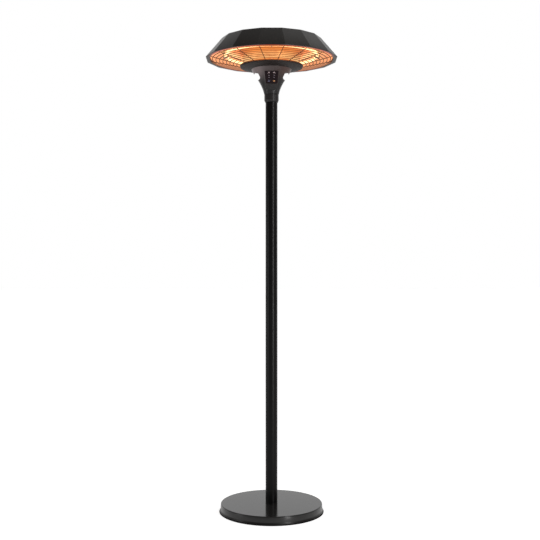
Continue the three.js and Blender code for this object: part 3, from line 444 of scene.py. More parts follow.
@dataclass(frozen=True)
class GlowWire(BrushedFinish):
    """Steel wire with the ring's light painted on as glow: orange in front and behind, where its lit side
    shows, else a dim brown painted glow.
    """

    # painted light: glow colours for the wire's lit front, its rear and its unlit sides
    lit: Colour = (0.34, 0.095, 0.022)
    rear: Colour = (0.45, 0.18, 0.09)
    unlit: Colour = (0.042, 0.013, 0.005)
    front_span: Point2 = (0.62, 0.97)
    beside_span: Point2 = (-0.42, -0.12)
    spokes: int = 16
    wire: float = 1.6 * MM

    def shader(self) -> Shader:
        """Adds the painted light on the round wires and leaves the straight ones dark.

        Returns:
            The shader.
        """
        shader = super().shader()
        front = shader.frontness().step(*self.front_span)
        beside = shader.frontness().step(*self.beside_span)
        half = self.spokes / 2
        off_spoke = (shader.turn() * half).math("COSINE").math("ABSOLUTE") * shader.radius() * (1 / half)
        lit = front * off_spoke.step(self.wire, 1.4 * self.wire)
        # painted light: the round wires glow orange in front and the rest glows dim
        shader.glow(shader.blend(lit, shader.blend(beside, self.rear, self.unlit), self.lit))
        return shader


@dataclass(frozen=True)
class RimGlowEnamel(Finish):
    """Enamel with the ring's light painted on as glow inside the hood and, in red, on the lip round the
    mouth.
    """

    mouth: float = 0.274
    reach: float = 0.016
    lip_top: float = 2.0135
    # painted light: red glow on the lip and orange glow on the inner wall
    red: Colour = (0.60, 0.065, 0.014)
    inside: Colour = (0.95, 0.42, 0.21)
    front_span: Point2 = (0.15, 0.6)
    rear_span: Point2 = (-0.8, -0.4)
    rear_share: float = 0.3
    shaded_span: Point2 = (-0.75, -0.3)
    shaded_share: float = 0.93

    def shader(self) -> Shader:
        """Adds the two painted lights: red on the lip, most of it in front, and orange on the wall at the
        rear.

        Returns:
            The shader.
        """
        shader = super().shader()
        front = shader.frontness()
        facing = front.step(*self.front_span) + (1.0 - front.step(*self.rear_span)) * self.rear_share
        near = shader.radius().band(self.mouth, self.reach) * facing
        above = shader.height().step(self.lip_top, self.lip_top + MM)
        unshaded = 1.0 - front.step(*self.shaded_span) * self.shaded_share
        inward = shader.facing_axis().step(0.0, 0.5) * unshaded
        # painted light: the red glow on the lip near the mouth, then the orange glow on the wall above it
        under = shader.blend(near * (1.0 - above), BLACK, self.red)
        shader.glow(shader.blend(above * inward, under, self.inside))
        return shader


@dataclass(frozen=True)
class NeckFinish(Finish):
    """Moulded plastic with painted light on its flared rim as a warm glow, most of it on the left."""

    rim: Point2 = (0.047, 0.084)
    # painted light: glow colours for the rim's left and right
    left: Colour = (0.13, 0.10, 0.10)
    right: Colour = (0.05, 0.022, 0.017)
    side_span: Point2 = (-0.6, 0.6)
    front_span: Point2 = (0.7, 1.0)
    front_shade: float = 0.5

    def shader(self) -> Shader:
        """Adds the painted light on the rim.

        Returns:
            The shader.
        """
        shader = super().shader()
        # painted light: a glow on the rim, stronger on the left and weaker in front
        light = shader.blend(shader.rightness().step(*self.side_span), self.left, self.right)
        lit = 1.0 - shader.frontness().step(*self.front_span) * self.front_shade
        shader.glow(shader.blend(shader.radius().step(*self.rim) * lit, BLACK, light))
        return shader


@dataclass(frozen=True)
class FootPaint(Finish):
    """Gloss paint that is softer on the side than on the top and painted darker there as shade, and dull
    along the bottom edge, where a painted shadow darkens it.
    """

    edge_height: float = 4.5 * MM
    # painted shadow: the dark band along the bottom edge stands for the shadow gap under the lip
    gap_shadow_colour: Colour = (0.001, 0.001, 0.001)
    edge_dulling: float = 0.5
    side_height: float = 34 * MM
    # painted shade: the side's colour is a darker copy of the top's
    side: Colour = (0.0105, 0.0098, 0.0092)
    side_dulling: float = 0.2
    coat_foot: Point2 = (10 * MM, 15 * MM)
    coat: float = 0.6
    coat_roughness: float = 0.2
    grain_gloss: float = 0.05

    def shader(self) -> Shader:
        """Adds the painted shadow along the bottom edge, the painted shade on the side and a soft clear
        coat on the side.

        Returns:
            The shader.
        """
        shader = super().shader()
        height = shader.height()
        edge = 1.0 - height.step(self.edge_height, self.edge_height + 2 * MM)
        side = 1.0 - height.step(self.side_height, self.side_height + 3 * MM)
        bare = 1.0 - height.step(*self.coat_foot)
        grain = (shader.noise(self.grain_scale) - 0.5) * self.grain_gloss
        shader.set(
            # the bottom edge gets the painted shadow and the side the painted shade
            Base_Color=shader.blend(edge, shader.blend(side, self.colour, self.side), self.gap_shadow_colour),
            Roughness=self.roughness + side * self.side_dulling + edge * self.edge_dulling + grain,
            Coat_Weight=(side - bare) * self.coat,
            Coat_Roughness=self.coat_roughness,
        )
        return shader


@dataclass(frozen=True)
class LitFinish(Finish):
    """A finish that gives off its own even light."""

    light: Colour = (1.0, 0.5, 0.2)
    strength: float = 1.0
    mottle_scale: float = 120.0
    dim_share: float = 0.75

    def shader(self) -> Shader:
        """Adds the light.

        Returns:
            The shader.
        """
        shader = super().shader()
        dim = tuple(c * self.dim_share for c in self.light)
        shader.glow(shader.blend(shader.noise(self.mottle_scale), dim, self.light), self.strength)
        return shader


@dataclass(frozen=True)
class GlassFinish(Finish):
    """Thin quartz tube seen as a faint gloss and a painted glow over what is inside it."""

    cover: float = 0.5
    edge_cover: float = 0.5
    edge_blend: float = 0.35
    light: Colour = (1.0, 0.72, 0.36)
    strength: float = 1.3

    def shader(self) -> Shader:
        """Makes the wall see-through, with a painted glow that is denser towards its edges.

        Returns:
            The shader.
        """
        shader = super().shader()
        weight = shader.node("ShaderNodeLayerWeight", None, {"Blend": self.edge_blend})
        edge = shader.signal(weight, "Facing")
        shader.set(Alpha=self.cover + edge * self.edge_cover)
        # painted light: the glass glows as if lit by the coil inside it
        shader.glow(self.light, self.strength)
        return shader


POLE_ENAMEL = PoleFinish("pole_enamel", (0.0046, 0.0043, 0.0043), 0.28, specular=0.14,
                         grain_depth=0.02 * MM)
BASE_PAINT = FootPaint("base_paint", (0.0200, 0.0192, 0.0186), 0.15, specular=0.21, grain_depth=0.008 * MM)
CANOPY_ENAMEL = RimGlowEnamel("canopy_enamel", (0.0165, 0.0132, 0.0104), 0.34, specular=0.36,
                              grain_scale=650.0)
NECK_PLASTIC = NeckFinish("neck_plastic", (0.0225, 0.0213, 0.0213), 0.36, specular=0.25, patch_scale=30.0,
                          grain_scale=1800.0)
HUB_DARK = Finish("hub_dark", (0.026, 0.0205, 0.019), 0.5, specular=0.14)
PANEL_GLOSS = Finish("panel_gloss", (0.0140, 0.0065, 0.0085), 0.14, specular=0.1, grain_depth=0.0)
KEY_GLOSS = Finish("key_gloss", (0.0085, 0.0062, 0.0085), 0.14, specular=0.14, grain_depth=0.0)
ZINC = BrushedFinish("zinc", (0.52, 0.53, 0.54), 0.38, metallic=1.0)
# painted reflection: the bright metal is tinted orange for the ring's glow mirrored in it
REFLECTOR = GlowReflector("reflector_bright", (0.22, 0.08, 0.025), 0.3, metallic=1.0)
GUARD_WIRE = GlowWire("guard_wire", (0.055, 0.024, 0.011), 0.5, metallic=0.3, specular=0.2)
QUARTZ = GlassFinish("quartz_tube", (0.95, 0.62, 0.38), 0.08)
HOT_COIL = LitFinish("hot_coil", (0.9, 0.5, 0.2), 0.5, light=(1.0, 0.70, 0.34), strength=4.0)
CERAMIC = Finish("ceramic", (0.62, 0.52, 0.40), 0.7, grain_scale=1500.0)
CONCRETE = Finish("concrete", (0.27, 0.26, 0.24), 0.9, variation=0.25, grain_scale=350.0,
                  grain_depth=0.3 * MM)
RUBBER = Finish("rubber", (0.011, 0.011, 0.011), 0.75, grain_scale=1200.0)
CIRCUIT_BOARD = Finish("circuit_board", (0.02, 0.10, 0.04), 0.45)
SWITCH_PLASTIC = Finish("switch_plastic", (0.014, 0.014, 0.015), 0.45, grain_scale=2000.0)
PALE_MARK = LitFinish("pale_mark", (0.5, 0.42, 0.42), 0.4, light=(0.50, 0.36, 0.37), strength=0.8)
DIM_MARK = LitFinish("dim_mark", (0.3, 0.26, 0.29), 0.4, light=(0.17, 0.13, 0.16), strength=0.8)
BLUE_MARK = LitFinish("blue_mark", (0.2, 0.2, 0.32), 0.4, light=(0.08, 0.075, 0.13), strength=0.8)
AMBER_MARK = LitFinish("amber_mark", (0.6, 0.3, 0.12), 0.4, light=(0.85, 0.40, 0.18), strength=0.8)


# ---------------------------------------------------------------- places
def low(node: str) -> Vector:
    """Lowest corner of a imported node."""
    return Vector(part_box(node)[0])


def high(node: str) -> Vector:
    """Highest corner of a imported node."""
    return Vector(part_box(node)[1])


def middle(node: str) -> Vector:
    """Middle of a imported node's box."""
    return (low(node) + high(node)) / 2


def over(node: str, height: float) -> Vector:
    """The point at a height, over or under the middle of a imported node."""
    return Vector((*middle(node).xy, height))


def at(x: float, y: float, z: float, tip: float = 0.0) -> Matrix:
    """A place, tipped about the X axis by an angle in degrees."""
    return Matrix.Translation((x, y, z)) @ Matrix.Rotation(math.radians(tip), 4, "X")


# ---------------------------------------------------------------- mesh tools
def fillet(corners: Sequence[Corner], closed: bool = True, steps: int = 4) -> list[Point2]:
    """Rounds the corners of an outline.

    Args:
        corners: (across, up, rounding radius) for each corner.
        closed: Whether the last corner joins the first.
        steps: Points less one on each rounded corner.

    Returns:
        The outline's points.
    """
    points: list[Point2] = []
    count = len(corners)
    for i, (r, z, radius) in enumerate(corners):
        here = Vector((r, z))
        before = (Vector(corners[i - 1][:2]) - here).normalized()
        after = (Vector(corners[(i + 1) % count][:2]) - here).normalized()
        free_end = not closed and i in (0, count - 1)
        if radius <= 0 or free_end or (before + after).length < 1e-4:
            points.append((r, z))
            continue
        half = before.angle(after) / 2
        reach = radius / math.tan(half)
        centre = here + (before + after).normalized() * (radius / math.sin(half))
        start = here + before * reach - centre
        end = here + after * reach - centre
        sweep = start.angle_signed(end)
        for k in range(steps + 1):
            turned = Matrix.Rotation(-sweep * k / steps, 2) @ start
            points.append(tuple(centre + turned))
    return points


def between_circles(upper: Corner, lower: Corner, steps: int = 24) -> list[Point2]:
    """The outline that wraps two circles, one above the other, as a belt would.

    Args:
        upper: (across, up, radius) of the upper circle.
        lower: The same of the lower one.
        steps: Steps on each circle's arc.

    Returns:
        The outline's points.
    """
    line = Vector(upper[:2]) - Vector(lower[:2])
    lean = math.asin((upper[2] - lower[2]) / line.length)
    along = math.atan2(line.y, line.x)
    points = []
    for (x, z, radius), start, sweep in ((upper, along - math.pi / 2 - lean, math.pi + 2 * lean),
                                         (lower, along + math.pi / 2 + lean, math.pi - 2 * lean)):
        for k in range(steps + 1):
            angle = start + sweep * k / steps
            points.append((x + radius * math.cos(angle), z + radius * math.sin(angle)))
    return points


def new_object(name: str, data: bpy.types.ID) -> Piece:
    """Puts a mesh, a lamp or a camera in the scene under a name.

    Args:
        name: The object's name.
        data: What it shows.

    Returns:
        The object.
    """
    made = bpy.data.objects.new(name, data)
    bpy.context.scene.collection.objects.link(made)
    return made


def from_bmesh(name: str, shape: bmesh.types.BMesh, sharp_above: float = 32.0) -> Piece:
    """Turns a bmesh into an object with smooth shading between its sharp edges.

    Args:
        name: The object's name.
        shape: The geometry, freed here.
        sharp_above: Degrees between two faces above which their edge stays sharp.

    Returns:
        The object.
    """
    bmesh.ops.remove_doubles(shape, verts=shape.verts, dist=WELD)
    bmesh.ops.recalc_face_normals(shape, faces=shape.faces)
    mesh = bpy.data.meshes.new(name)
    shape.to_mesh(mesh)
    shape.free()
    mesh.shade_smooth()
    mesh.set_sharp_from_angle(angle=math.radians(sharp_above))
    return new_object(name, mesh)


def revolve(name: str, outline: Sequence[Point2], segments: int, sharp_above: float = 32.0) -> Piece:
    """Turns a closed outline about the Z axis.

    Args:
        name: The object's name.
        outline: (radius, height) points; the last joins the first.
        segments: Steps round the axis.
        sharp_above: Degrees above which an edge stays sharp.

    Returns:
        The object.
    """
    shape = bmesh.new()
    rings = []
    for k in range(segments):
        angle = 2 * math.pi * k / segments
        c, s = math.cos(angle), math.sin(angle)
        rings.append([shape.verts.new((r * c, r * s, z)) for r, z in outline])
    count = len(outline)
    for k in range(segments):
        here, there = rings[k], rings[(k + 1) % segments]
        for i in range(count):
            j = (i + 1) % count
            on_axis = max(outline[i][0], outline[j][0]) < 1e-9
            if not on_axis:
                shape.faces.new((here[i], there[i], there[j], here[j]))
    bmesh.ops.remove_doubles(shape, verts=shape.verts, dist=0.1 * WELD)
    bmesh.ops.dissolve_degenerate(shape, edges=shape.edges, dist=0.01 * WELD)
    return from_bmesh(name, shape, sharp_above)


def rod(name: str, radius: float, bottom: float, top: float, segments: int) -> Piece:
    """A round bar about the Z axis between two heights."""
    return revolve(name, [(0, bottom), (radius, bottom), (radius, top), (0, top)], segments)


def extrude(name: str, outline: Sequence[Point2], bottom: float, top: float) -> Piece:
    """Extrudes a closed outline along Z between two heights.

    Args:
        name: The object's name.
        outline: (x, y) points in order.
        bottom: Lower height.
        top: Upper height.

    Returns:
        The object.
    """
    shape = bmesh.new()
    under = [shape.verts.new((x, y, bottom)) for x, y in outline]
    upper = [shape.verts.new((x, y, top)) for x, y in outline]
    shape.faces.new(under)
    shape.faces.new(upper)
    for i in range(len(outline)):
        j = (i + 1) % len(outline)
        shape.faces.new((under[i], under[j], upper[j], upper[i]))
    return from_bmesh(name, shape)


def rectangle(left: float, right: float, front: float, back: float) -> list[Point2]:
    """The outline of a rectangle."""
    return [(left, front), (right, front), (right, back), (left, back)]


def move(piece: Piece, matrix: Matrix) -> Piece:
    """Moves a piece's mesh and leaves its object at the origin."""
    piece.data.transform(matrix)
    return piece


def applied(piece: Piece) -> Piece:
    """Turns a piece's modifiers into its plain mesh.

    Args:
        piece: The piece.

    Returns:
        The piece.
    """
    bpy.context.view_layer.update()
    evaluated = piece.evaluated_get(bpy.context.evaluated_depsgraph_get())
    mesh = bpy.data.meshes.new_from_object(evaluated)
    piece.modifiers.clear()
    old, piece.data = piece.data, mesh
    if old.users == 0:
        bpy.data.meshes.remove(old)
    return piece


class Cut(Enum):
    """How one solid acts on another."""

    OFF = "DIFFERENCE"
    ADD = "UNION"
    KEEP = "INTERSECT"


def combine(piece: Piece, tool: Piece, how: Cut = Cut.OFF) -> Piece:
    """Joins or cuts a piece with a tool and deletes the tool.

    Args:
        piece: The piece that stays.
        tool: The solid that acts on it.
        how: What it does.

    Returns:
        The piece.
    """
    modifier = piece.modifiers.new("cut", "BOOLEAN")
    modifier.operation = how.value
    modifier.solver = "EXACT"
    modifier.object = tool
    applied(piece)
    bpy.data.objects.remove(tool)
    return piece


def bevelled(piece: Piece, width: float, segments: int = 2, angle: float = 32.0) -> Piece:
    """Rounds a piece's sharp edges.

    Args:
        piece: The piece.
        width: The bevel's width.
        segments: Its steps.
        angle: Degrees between two faces above which their edge is rounded.

    Returns:
        The piece.
    """
    modifier = piece.modifiers.new("edge", "BEVEL")
    modifier.width = width
    modifier.segments = segments
    modifier.limit_method = "ANGLE"
    modifier.angle_limit = math.radians(angle)
    modifier.use_clamp_overlap = True
    applied(piece)
    piece.data.shade_smooth()
    piece.data.set_sharp_from_angle(angle=math.radians(40.0))
    return piece


def finish_piece(piece: Piece, finish: Finish, nodes: Sequence[str] = (),
                 body: str = TOWER) -> None:
    """Dresses a piece and ties it to the frame.

    Args:
        piece: The piece.
        finish: Its finish.
        nodes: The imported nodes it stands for.
        body: The body it rides on.
    """
    piece.data.materials.clear()
    piece.data.materials.append(finish.material())
    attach(piece, body)
    if nodes:
        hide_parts(*nodes)
    log.info("%s: %d faces", piece.name, len(piece.data.polygons))


def dress(finish: Finish, *nodes: str) -> None:
    """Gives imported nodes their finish.

    Args:
        finish: The finish.
        nodes: The nodes' names.
    """
    for name in nodes:
        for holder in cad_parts[name].material_slots:
            holder.material = finish.material()
        log.info("%s: packed solid in %s", name, finish.name)


def numbered(name: str, count: int) -> list[str]:
    """The names of repeated nodes, counted from 1."""
    return [f"{name}_{i + 1}" for i in range(count)]


# ---------------------------------------------------------------- repeated pieces by geometry nodes
HOOP_STEPS = 144
GUARD_WIRE_SIDES = 8
COIL_WIRE_SIDES = 5
COIL_STEPS = 9  # on each turn
SOCKET_KINDS = {int: "NodeSocketInt", float: "NodeSocketFloat", tuple: "NodeSocketVector",
                Piece: "NodeSocketObject"}


@dataclass
class NodeTool:
    """A geometry tree with named inputs, run once to make a plain mesh."""

    name: str
    inputs: dict[str, object]

    def __post_init__(self) -> None:
        """Starts the tree with its inputs and its output."""
        self.tree = bpy.data.node_groups.new(self.name + "_maker", "GeometryNodeTree")
        self.graph = Graph(self.tree)
        self.tree.interface.new_socket("Geometry", in_out="OUTPUT", socket_type="NodeSocketGeometry")
        self.identifiers = {}
        for label, value in self.inputs.items():
            kind = next(kind for sort, kind in SOCKET_KINDS.items() if isinstance(value, sort))
            made = self.tree.interface.new_socket(label, in_out="INPUT", socket_type=kind)
            self.identifiers[label] = made.identifier
        self.given = self.graph.node("NodeGroupInput")

    def value(self, label: str) -> Signal:
        """A named input as a signal."""
        return self.graph.signal(self.given, label)

    def between(self, start: str, end: str, share: Signal) -> Signal:
        """The value at a share of the way from one named input to another."""
        return self.value(start) + (self.value(end) - self.value(start)) * share

    def node(self, kind: str, settings: dict | None = None, **values: object) -> Socket:
        """Adds a node, with underscores for spaces in its values' names, and gives its first output."""
        named = {key.replace("_", " "): value for key, value in values.items()}
        return self.graph.node(kind, settings, named).outputs[0]

    def join(self, *parts: Socket) -> Socket:
        """Joins geometry.

        Args:
            parts: The sockets that give it.

        Returns:
            The socket that gives all of it.
        """
        node = self.graph.node("GeometryNodeJoinGeometry")
        for part in parts:
            self.graph.feed(node.inputs[0], part)
        return node.outputs[0]

    def vector(self, x: object, y: object, z: object) -> Socket:
        """A vector from three numbers or signals."""
        return self.node("ShaderNodeCombineXYZ", X=x, Y=y, Z=z)

    def circle(self, sides: int, radius: object) -> Socket:
        """A circle of straight steps."""
        kind = "GeometryNodeCurvePrimitiveCircle"
        return self.node(kind, {"mode": "RADIUS"}, Resolution=sides, Radius=radius)

    def wire(self, curve: Socket, sides: int) -> Socket:
        """Wire along a curve, as thick as the input named Wire says."""
        section = self.circle(sides, self.value("Wire"))
        return self.node("GeometryNodeCurveToMesh", Curve=curve, Profile_Curve=section, Fill_Caps=True)

    def build(self, geometry: Socket, finish: Finish) -> Piece:
        """Ends the tree, runs it and keeps the mesh.

        Args:
            geometry: What the tree makes.
            finish: The finish that the tree sets.

        Returns:
            The piece as a plain mesh, under the tool's name.
        """
        real = self.node("GeometryNodeRealizeInstances", Geometry=geometry)
        shaded = self.node("GeometryNodeSetShadeSmooth", Geometry=real)
        dressed = self.node("GeometryNodeSetMaterial", Geometry=shaded, Material=finish.material())
        self.graph.node("NodeGroupOutput", None, {0: dressed})
        piece = new_object(self.name, bpy.data.meshes.new(self.name))
        modifier = piece.modifiers.new("made", "NODES")
        modifier.node_group = self.tree
        for label, value in self.inputs.items():
            modifier[self.identifiers[label]] = value
        return applied(piece)


def wire_guard(name: str, inner: Point2, outer: Point2, rings: int, spokes: int, wire: float) -> Piece:
    """Concentric wires on a shallow cone with straight wires welded across them.

    Args:
        name: The piece's name.
        inner: (radius, height) of the innermost wire.
        outer: (radius, height) of the outermost wire.
        rings: Number of round wires.
        spokes: Number of straight wires.
        wire: Radius of the wire.

    Returns:
        The guard.
    """
    tool = NodeTool(name, {
        "Rings": rings, "Spokes": spokes, "Inner Radius": inner[0], "Outer Radius": outer[0],
        "Inner Height": inner[1], "Outer Height": outer[1], "Wire": wire,
    })
    index = Signal(tool.graph, tool.node("GeometryNodeInputIndex"))
    share = index / (tool.value("Rings") - 1)
    radius = tool.between("Inner Radius", "Outer Radius", share)
    height = tool.between("Inner Height", "Outer Height", share)
    place = tool.vector(0.0, 0.0, height)
    levels = tool.node("GeometryNodePoints", Count=tool.value("Rings"), Position=place)
    hoops = tool.node("GeometryNodeInstanceOnPoints", Points=levels, Instance=tool.circle(HOOP_STEPS, 1.0),
                      Scale=tool.vector(radius, radius, 1.0))
    start = tool.vector(tool.value("Inner Radius"), 0.0, tool.value("Inner Height"))
    end = tool.vector(tool.value("Outer Radius"), 0.0, tool.value("Outer Height"))
    straight = tool.node("GeometryNodeCurvePrimitiveLine", Start=start, End=end)
    turn = (index + 0.5) * (2 * math.pi) / tool.value("Spokes")
    fan = tool.node("GeometryNodePoints", Count=tool.value("Spokes"))
    bars = tool.node("GeometryNodeInstanceOnPoints", Points=fan, Instance=straight,
                     Rotation=tool.vector(0.0, 0.0, turn))
    curves = tool.node("GeometryNodeRealizeInstances", Geometry=tool.join(hoops, bars))
    even = tool.node("GeometryNodeSetCurveRadius", Curve=curves, Radius=1.0)
    return tool.build(tool.wire(even, GUARD_WIRE_SIDES), GUARD_WIRE)


def coil_on_arc(name: str, ring: float, height: float, start: float, end: float, coil: float, turns: int,
                wire: float) -> Piece:
    """A wound wire that follows an arc round the axis.

    Args:
        name: The piece's name.
        ring: Radius of the arc.
        height: Its height.
        start: Angle where it starts, in radians.
        end: Angle where it ends.
        coil: Radius of the winding.
        turns: Number of turns.
        wire: Radius of the wire.

    Returns:
        The coil.
    """
    tool = NodeTool(name, {
        "Ring": ring, "Height": height, "Start": start, "End": end, "Coil": coil, "Turns": turns,
        "Wire": wire,
    })
    line = tool.node("GeometryNodeCurvePrimitiveLine", Start=(0, 0, 0), End=(1, 0, 0))
    fine = tool.node("GeometryNodeResampleCurve", Curve=line, Count=turns * COIL_STEPS + 1)
    share = Signal(tool.graph, tool.node("GeometryNodeSplineParameter"))
    along = tool.between("Start", "End", share)
    wound = share * tool.value("Turns") * (2 * math.pi)
    reach = tool.value("Ring") + tool.value("Coil") * wound.math("COSINE")
    level = tool.value("Height") + tool.value("Coil") * wound.math("SINE")
    place = tool.vector(reach * along.math("COSINE"), reach * along.math("SINE"), level)
    bent = tool.node("GeometryNodeSetPosition", Geometry=fine, Position=place)
    return tool.build(tool.wire(bent, COIL_WIRE_SIDES), HOT_COIL)


def scattered(name: str, pattern: Piece, spots: Sequence[Vector], turn: Corner, finish: Finish) -> Piece:
    """Copies of one small piece at several spots, joined in one mesh.

    Args:
        name: The made piece's name.
        pattern: The small piece, removed here.
        spots: Where its origin goes.
        turn: How each copy is turned, as Euler angles.
        finish: The finish that the tree sets.

    Returns:
        The joined piece.
    """
    tool = NodeTool(name, {"Pattern": pattern, "Turn": turn})
    info = tool.graph.node("GeometryNodeObjectInfo", {"transform_space": "ORIGINAL"},
                           {"Object": tool.value("Pattern")})
    copies = [tool.node("GeometryNodeTransform", Geometry=info.outputs["Geometry"], Translation=tuple(spot),
                        Rotation=tool.value("Turn")) for spot in spots]
    piece = tool.build(tool.join(*copies), finish)
    bpy.data.objects.remove(pattern)
    piece.data.set_sharp_from_angle(angle=math.radians(35.0))
    return piece


class Facing(Enum):
    """Where a screw's head faces, as a turn about the X axis in radians."""

    UP = 0.0
    DOWN = math.pi
    BACK = -math.pi / 2


@dataclass(frozen=True)
class Screw:
    """A button-head screw with a six-sided socket; the head's underside is its origin."""

    radius: float
    height: float
    shank: float
    length: float
    socket: float

    def _pattern(self) -> Piece:
        """Makes one screw with its head facing up.

        Returns:
            The screw.
        """
        outline = fillet([
            (0, -self.length, 0), (self.shank, -self.length, 0.2 * self.shank), (self.shank, 0, 0),
            (self.radius, 0, 0.1 * self.height), (0.8 * self.radius, self.height, 0.5 * self.height),
            (0, self.height, 0)], steps=3)
        well = rod("socket_tool", self.socket, 0.35 * self.height, 2 * self.height, 6)
        return combine(revolve("screw_pattern", outline, 32), well)

    def fit(self, name: str, spots: Sequence[Vector], facing: Facing, nodes: Sequence[str]) -> None:
        """Puts the screws in their places.

        Args:
            name: The made piece's name.
            spots: Where each head's underside goes.
            facing: Where the heads face.
            nodes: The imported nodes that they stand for.
        """
        finish_piece(scattered(name, self._pattern(), spots, (facing.value, 0.0, 0.0), ZINC), ZINC, nodes)


# ---------------------------------------------------------------- base
@dataclass
class Base:
    """The round foot: a pressed cover over the ballast, on a rubber ring."""

    top_radius: float = 226 * MM
    sheet: float = 2 * MM
    lip_height: float = 9.5 * MM
    edge: float = 3 * MM
    sweep: float = 18 * MM  # rounding of the waist over the lip
    ring_width: float = 17 * MM
    rib_places: Corner = (0.22, 0.48, 0.74)  # shares of the ring's width
    rib_half: float = 0.05
    rib_depth: float = 0.7 * MM
    groove_place: float = 0.6  # share of the plate's radius
    plate_screw: Screw = Screw(radius=5 * MM, height=1.9 * MM, shank=2.2 * MM, length=13 * MM,
                               socket=1.7 * MM)
    outlet_bore: float = 4 * MM
    outlet_neck: float = 8 * MM
    outlet_face: float = 5 * MM
    outlet_crest: float = 6.9 * MM
    outlet_root: float = 5.9 * MM
    outlet_ribs: int = 4
    outlet_pitch: float = 2 * MM
    segments: int = 192

    def build(self) -> None:
        """Makes and dresses the base's pieces."""
        self._cover()
        self._floor_ring()
        self._bottom_plate()
        self._outlet()
        dress(CONCRETE, "base_weight")
        dress(ZINC, "pole_flange", *numbered("flange_bolt", 3))

    def _cover(self) -> None:
        """The pressed cover, with a flared lip and a hole for the pole."""
        lift, top, lip = low("base_cover").z, high("base_cover").z, high("base_cover").x
        hole, side = high("pole_lower").x + PLAY, self.top_radius
        waist, flare = lift + self.lip_height, lift + 0.5 * self.lip_height
        outline = fillet([
            (hole, top, 0.5 * MM), (hole + FLAT_EDGE, top, 0),
            (side - self.edge - FLAT_EDGE, top, 0), (side, top, self.edge),
            (side + 1.6 * MM, waist + 2 * MM, self.sweep), (side + 3.4 * MM, flare, 5 * MM),
            (lip, lift + 1.3 * MM, 0.6 * MM), (lip, lift, 0.5 * MM), (lip - self.sheet, lift, 0.5 * MM),
            (side + 1.4 * MM, flare + 0.5 * MM, 5 * MM), (side - 0.4 * MM, waist + 3 * MM, self.sweep),
            (side - self.sheet, top - self.sheet, 1.2 * MM), (hole, top - self.sheet, 0.4 * MM),
        ])
        cover = revolve("base_cover_shell", outline, self.segments)
        bore = rod("outlet_tool", 0.8 * high("cable_gland").x, -9 * MM, 9 * MM, 32)
        combine(cover, move(bore, at(0, side, middle("cable_gland").z, 90)))
        finish_piece(cover, BASE_PAINT, ["base_cover"])

    def _floor_ring(self) -> None:
        """The rubber ring, with three fine ribs underfoot."""
        outer, top = high("floor_ring").x, high("floor_ring").z
        inner = outer - self.ring_width
        ribs = [(outer - (share + aside) * self.ring_width, depth, 0.25 * MM)
                for share in self.rib_places
                for aside, depth in ((-self.rib_half, 0.0), (0.0, self.rib_depth), (self.rib_half, 0.0))]
        outline = fillet([(inner, top, 0.4 * MM), (outer, top, 0.6 * MM), (outer, 0, 0.8 * MM), *ribs,
                          (inner, 0, 0.6 * MM)], steps=3)
        finish_piece(revolve("floor_ring_rubber", outline, self.segments), RUBBER, ["floor_ring"])

    def _bottom_plate(self) -> None:
        """The closing plate, with a pressed stiffening ring, and its screws."""
        plate = "base_bottom_plate"
        edge, bottom, top = high(plate).x, low(plate).z, high(plate).z
        groove = [(self.groove_place * edge + across * MM, bottom + depth * MM, 1.5 * MM)
                  for across, depth in ((7, 0), (4, 1), (-4, 1), (-7, 0))]
        outline = fillet([(0, top, 0), (edge, top, 0.5 * MM), (edge, bottom, 0.5 * MM), *groove,
                          (0, bottom, 0)], steps=3)
        finish_piece(revolve("base_bottom_cover", outline, self.segments), BASE_PAINT, [plate])
        names = numbered("base_plate_screw", 3)
        self.plate_screw.fit("base_plate_screws", [over(n, bottom) for n in names], Facing.DOWN, names)

    def _outlet(self) -> None:
        """The cable outlet at the back, with a ribbed nose round an open bore."""
        node = "cable_gland"
        flange, bore, neck, face = high(node).x, self.outlet_bore, self.outlet_neck, self.outlet_face
        seat = self.top_radius + self.sheet
        nose, tail = high(node).y - seat, low(node).y - seat
        ribs = []
        for k in range(self.outlet_ribs):
            start, taper = face + k * self.outlet_pitch, 0.15 * k * MM
            crest, root = self.outlet_crest - taper, self.outlet_root - taper
            ribs += [(crest, start + 0.6 * MM, 0.3 * MM), (crest, start + 1.7 * MM, 0.3 * MM),
                     (root, start + 1.8 * MM, 0.2 * MM), (root, start + 2.5 * MM, 0.2 * MM)]
        outline = fillet([
            (bore, tail, 0), (neck, tail, 0.4 * MM), (neck, 0, 0), (flange, 0, 0.4 * MM),
            (flange, face, 1.4 * MM), (7.4 * MM, face, 0.6 * MM), *ribs, (5.4 * MM, nose, 0.5 * MM),
            (bore, nose, 0.3 * MM)], steps=3)
        outlet = move(revolve("cable_gland_body", outline, 48), at(0, seat, middle(node).z, -90))
        finish_piece(outlet, RUBBER, [node])
        dress(SWITCH_PLASTIC, "gland_nut")


# ---------------------------------------------------------------- pole
@dataclass
class Pole:
    """The sectional pole: four tubes that meet at fine seams."""

    wall: float = 1.5 * MM
    seam_edge: float = 0.7 * MM
    segments: int = 96

    def build(self) -> None:
        """Makes each tube with rounded ends and dresses the joiners inside."""
        for name in ("pole_lower", "pole_middle", "pole_upper", "head_tube"):
            radius, bottom, top = high(name).x, low(name).z, high(name).z
            outline = fillet([(radius - self.wall, bottom, 0), (radius, bottom, self.seam_edge),
                              (radius, bottom + FLAT_EDGE, 0), (radius, top - FLAT_EDGE, 0),
                              (radius, top, self.seam_edge), (radius - self.wall, top, 0)], steps=3)
            finish_piece(revolve(name + "_tube", outline, self.segments), POLE_ENAMEL, [name])
        dress(ZINC, *numbered("pole_joiner", 3))


